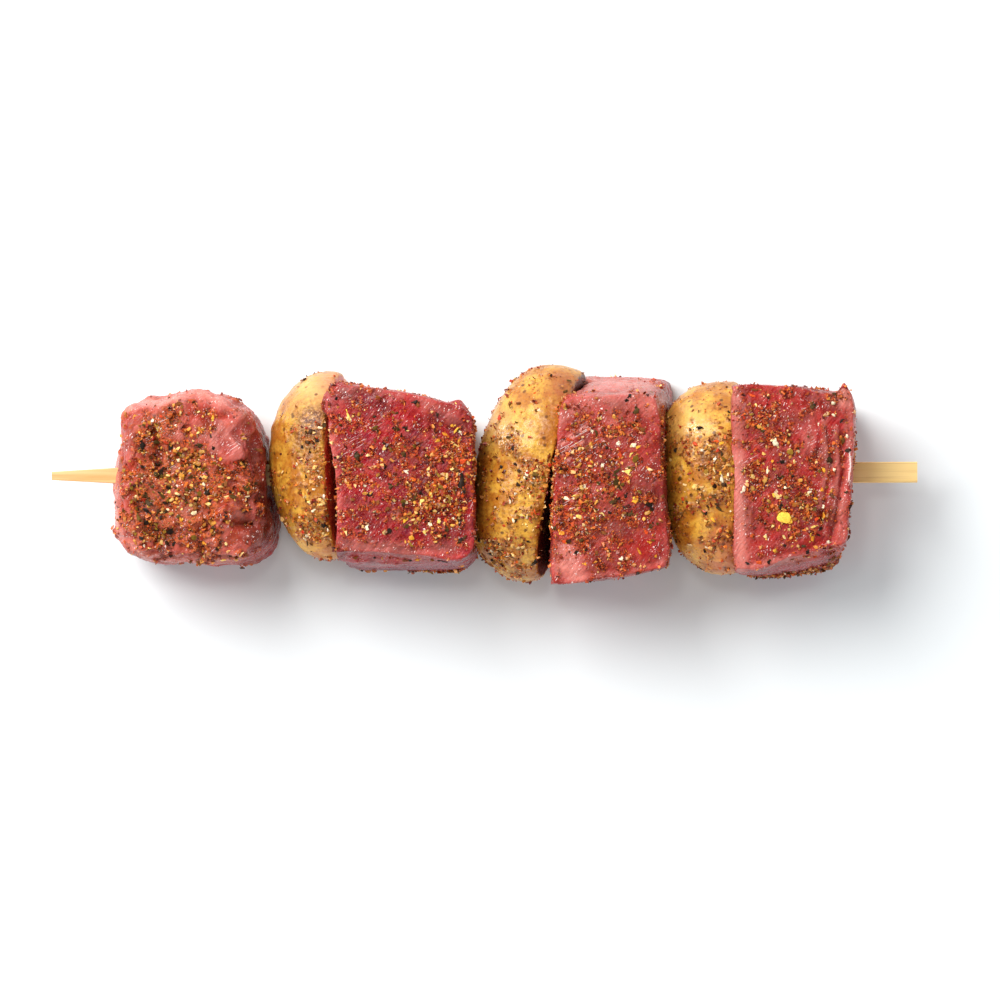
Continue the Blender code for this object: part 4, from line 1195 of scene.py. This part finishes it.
                  (1.8, 6.6, 1.5, 1.0), (-6.4, -8.5, 1.1, 0.9), (-2.0, 15.5, 1.2, 0.7),
                  (5.4, 16.3, 1.3, 0.8)],
        "chilli": [(-1.5, 7.7, 2.2, 1.2, 70), (-4.4, -4.7, 1.3, 1.0), (0.4, -5.2, 1.8, 0.7, 40),
                   (2.6, -14.1, 2.1, 1.2, 30), (3.2, 8.4, 1.8, 0.8), (-8.0, 10.5, 1.2, 0.8)],
        "gold": [(4.4, 7.9, 2.0, 0.9, 20), (2.3, -9.5, 1.8, 0.9, -20), (3.8, 1.3, 1.4, 1.0),
                 (5.9, -6.0, 1.6, 0.8, 40)],
        "straw": [(1.8, 7.4, 1.6, 0.7, -20), (-9.2, -1.1, 1.1, 1.0), (1.9, -16.0, 1.7, 1.1, 20),
                  (-7.2, 4.2, 1.1, 0.8)],
        "cream": [(4.4, -0.4, 1.9, 1.1, 20), (-0.1, 6.3, 1.3, 1.0, 20), (2.8, 4.4, 1.2, 0.9),
                  (5.6, 3.0, 1.1, 0.8)],
    },
}


def addBit(every, layers, body, flake, first, light, draw):     # the main crumb, or a smaller bit beside it
    choice, (tone, length, width), (hue, shade) = flakeShape, flake, layers
    smooth = first and tone == choice["seedTone"]
    share = choice["mainSize"] if first else draw.uniform(*choice["bitSize"])
    sideX, sideY = (0, 0) if first else (draw.uniform(*choice["bitPlace"]), draw.uniform(*choice["bitPlace"]))
    thick = draw.uniform(*choice["thickness"]) * width * share
    spot = Matrix.Translation(Vector((sideX * length, sideY * width, 0.3 * thick)) * mm)
    lean = Matrix.Rotation(draw.uniform(*choice["bitLean"]) * (not first), 4, "X")
    size = Matrix.Diagonal((length * share * mm, width * share * mm, thick * mm, 1))
    points = []
    for _ in range(choice["seedPoints" if smooth else "points"]):
        reach = draw.uniform(*choice["seedReach" if smooth else "reach"])
        points.append(body @ spot @ lean @ size @ (anyWay(draw) * reach))
    crumb = hullOf(points)
    drift = draw.uniform(*choice["mainDrift" if first else "bitDrift"])
    copied = {}
    for v in crumb.verts:
        copied[v] = every.verts.new(v.co)
        copied[v][hue] = min(max(flakeTones[tone][0] + drift, 0.0), 1.0)
        copied[v][shade] = light * (1 if first else draw.uniform(*choice["bitLight"]))
    for face in crumb.faces:
        every.faces.new([copied[v] for v in face.verts])
    crumb.free()


def layFlakes(pieces, placed, choice):
    draw = np.random.RandomState(choice["seed"])
    every = bmesh.new()
    lead, reach = 10 * mm, 14 * mm      # how far above the piece a ray starts, and how far down it looks next
    layers = [every.verts.layers.float.new(name) for name in ("hue", "shade")]
    for piece in pieces:
        node = piece.name.rsplit("_", 1)[0]
        low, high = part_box(node)
        ground = BVHTree.FromPolygons([v.co for v in piece.data.vertices],
                                      [p.vertices for p in piece.data.polygons])
        for tone, spots in placed[node].items():
            isSeed = tone == choice["seedTone"]
            for x, y, length, width, *turn in spots:
                above = Vector(((low.x + high.x) / 2 + x * mm, (low.y + high.y) / 2 + y * mm, high.z + lead))
                place, normal, _, _ = ground.ray_cast(above, Vector((0, 0, -1)))
                if place is None:       # it hangs just past the edge
                    place, normal, _, _ = ground.find_nearest(above - Vector((0, 0, reach)))
                facing = normal + Vector((0, 0, choice["upright"]))
                facing = facing.to_track_quat("Z", "Y").to_matrix().to_4x4()
                body = Matrix.Translation(place) @ facing @ Matrix.Rotation(math.radians(sum(turn)), 4, "Z")
                light = choice["seedLight"] if isSeed else draw.uniform(*choice["light"])
                for bit in range(choice["seedBits"] if isSeed else 1 + int(choice["bits"] * width)):
                    addBit(every, layers, body, (tone, length, width), bit == 0, light, draw)
    return newObject("largeFlakes", meshOf(every, "largeFlakes"))


largeFlakes = layFlakes(beefPieces + potatoPieces, flakes, flakeShape)
largeFlakes.data.materials.append(rubFinish("large flakes", list(flakeTones.values()), flakeShape["gloss"]))
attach(largeFlakes, "root")
print("largeFlakes laid:", len(largeFlakes.data.polygons), "faces")


# The stage: a white table, a key softbox at the upper left, a small overhead one and an even room.
stageChoice = {     # lengths in millimetres
    "white": (243, 246, 246), "walls": 1.25, "ceiling": 0.2, "roomTint": (0.95, 1.0, 1.04), "table": 4000.0,
    "cameraHeight": 1500.0, "across": 231.2, "middle": (3.58, -6.01), "roll": -0.25, "sensor": 36.0,
    "farthest": 50000.0,
}
lamps = {
    "key": {"from": (-450, 430, 755), "size": 720, "power": 11.8},
    "overhead": {"from": (-60, 160, 900), "size": 90, "power": 0.5},
}


def softbox(name, place, size, power):
    lamp = bpy.data.lights.new(name, "AREA")
    lamp.shape = "DISK"
    lamp.size = size * mm
    lamp.energy = power
    stand = bpy.data.objects.new(name, lamp)
    bpy.context.scene.collection.objects.link(stand)
    stand.location = Vector(place) * mm
    middle = Vector((0, 0, skewerHeight * mm))
    stand.rotation_euler = (middle - stand.location).to_track_quat("-Z", "Y").to_euler()


def makeRoom(choice):       # bright walls all round under a darker ceiling
    world = bpy.data.worlds.new("room")
    world.use_nodes = True
    nodes = Nodes(world.node_tree)
    background = world.node_tree.nodes["Background"]
    background.inputs["Color"].default_value = (*choice["roomTint"], 1)
    direction = nodes.add("ShaderNodeTexCoord", output="Generated")
    height = nodes.add("ShaderNodeSeparateXYZ", None, {"Vector": direction}, output="Z")
    strength = height.step(0.35, 0.8) * (choice["ceiling"] - choice["walls"]) + choice["walls"]
    world.node_tree.links.new(strength.socket, background.inputs["Strength"])
    return world


def makeStage(choice):
    mesh = bpy.data.meshes.new("table")
    reach = choice["table"] * mm
    mesh.from_pydata([(-reach, -reach, 0), (reach, -reach, 0), (reach, reach, 0), (-reach, reach, 0)], [],
                     [(0, 1, 2, 3)])
    table = newObject("table", mesh)
    material = bpy.data.materials.new("white table")
    material.use_nodes = True
    shader = material.node_tree.nodes["Principled BSDF"]
    shader.inputs["Base Color"].default_value = opaque(*choice["white"])
    shader.inputs["Roughness"].default_value = 0.9
    shader.inputs["Specular IOR Level"].default_value = 0.0
    mesh.materials.append(material)
    for name, lamp in lamps.items():
        softbox(name, lamp["from"], lamp["size"], lamp["power"])
    bpy.context.scene.world = makeRoom(choice)
    bpy.context.scene.view_settings.view_transform = "Standard"
    low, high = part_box("skewer")
    height = (low.z + high.z) / 2 / mm
    camera = bpy.data.cameras.new("camera")
    camera.sensor_width = choice["sensor"]
    camera.lens = choice["sensor"] * choice["cameraHeight"] / choice["across"]
    camera.clip_end = choice["farthest"] * mm
    stand = bpy.data.objects.new("camera", camera)
    bpy.context.scene.collection.objects.link(stand)
    stand.location = Vector((*choice["middle"], height + choice["cameraHeight"])) * mm
    stand.rotation_euler = (0, 0, math.radians(choice["roll"]))
    bpy.context.scene.camera = stand


makeStage(stageChoice)
print("stage set")
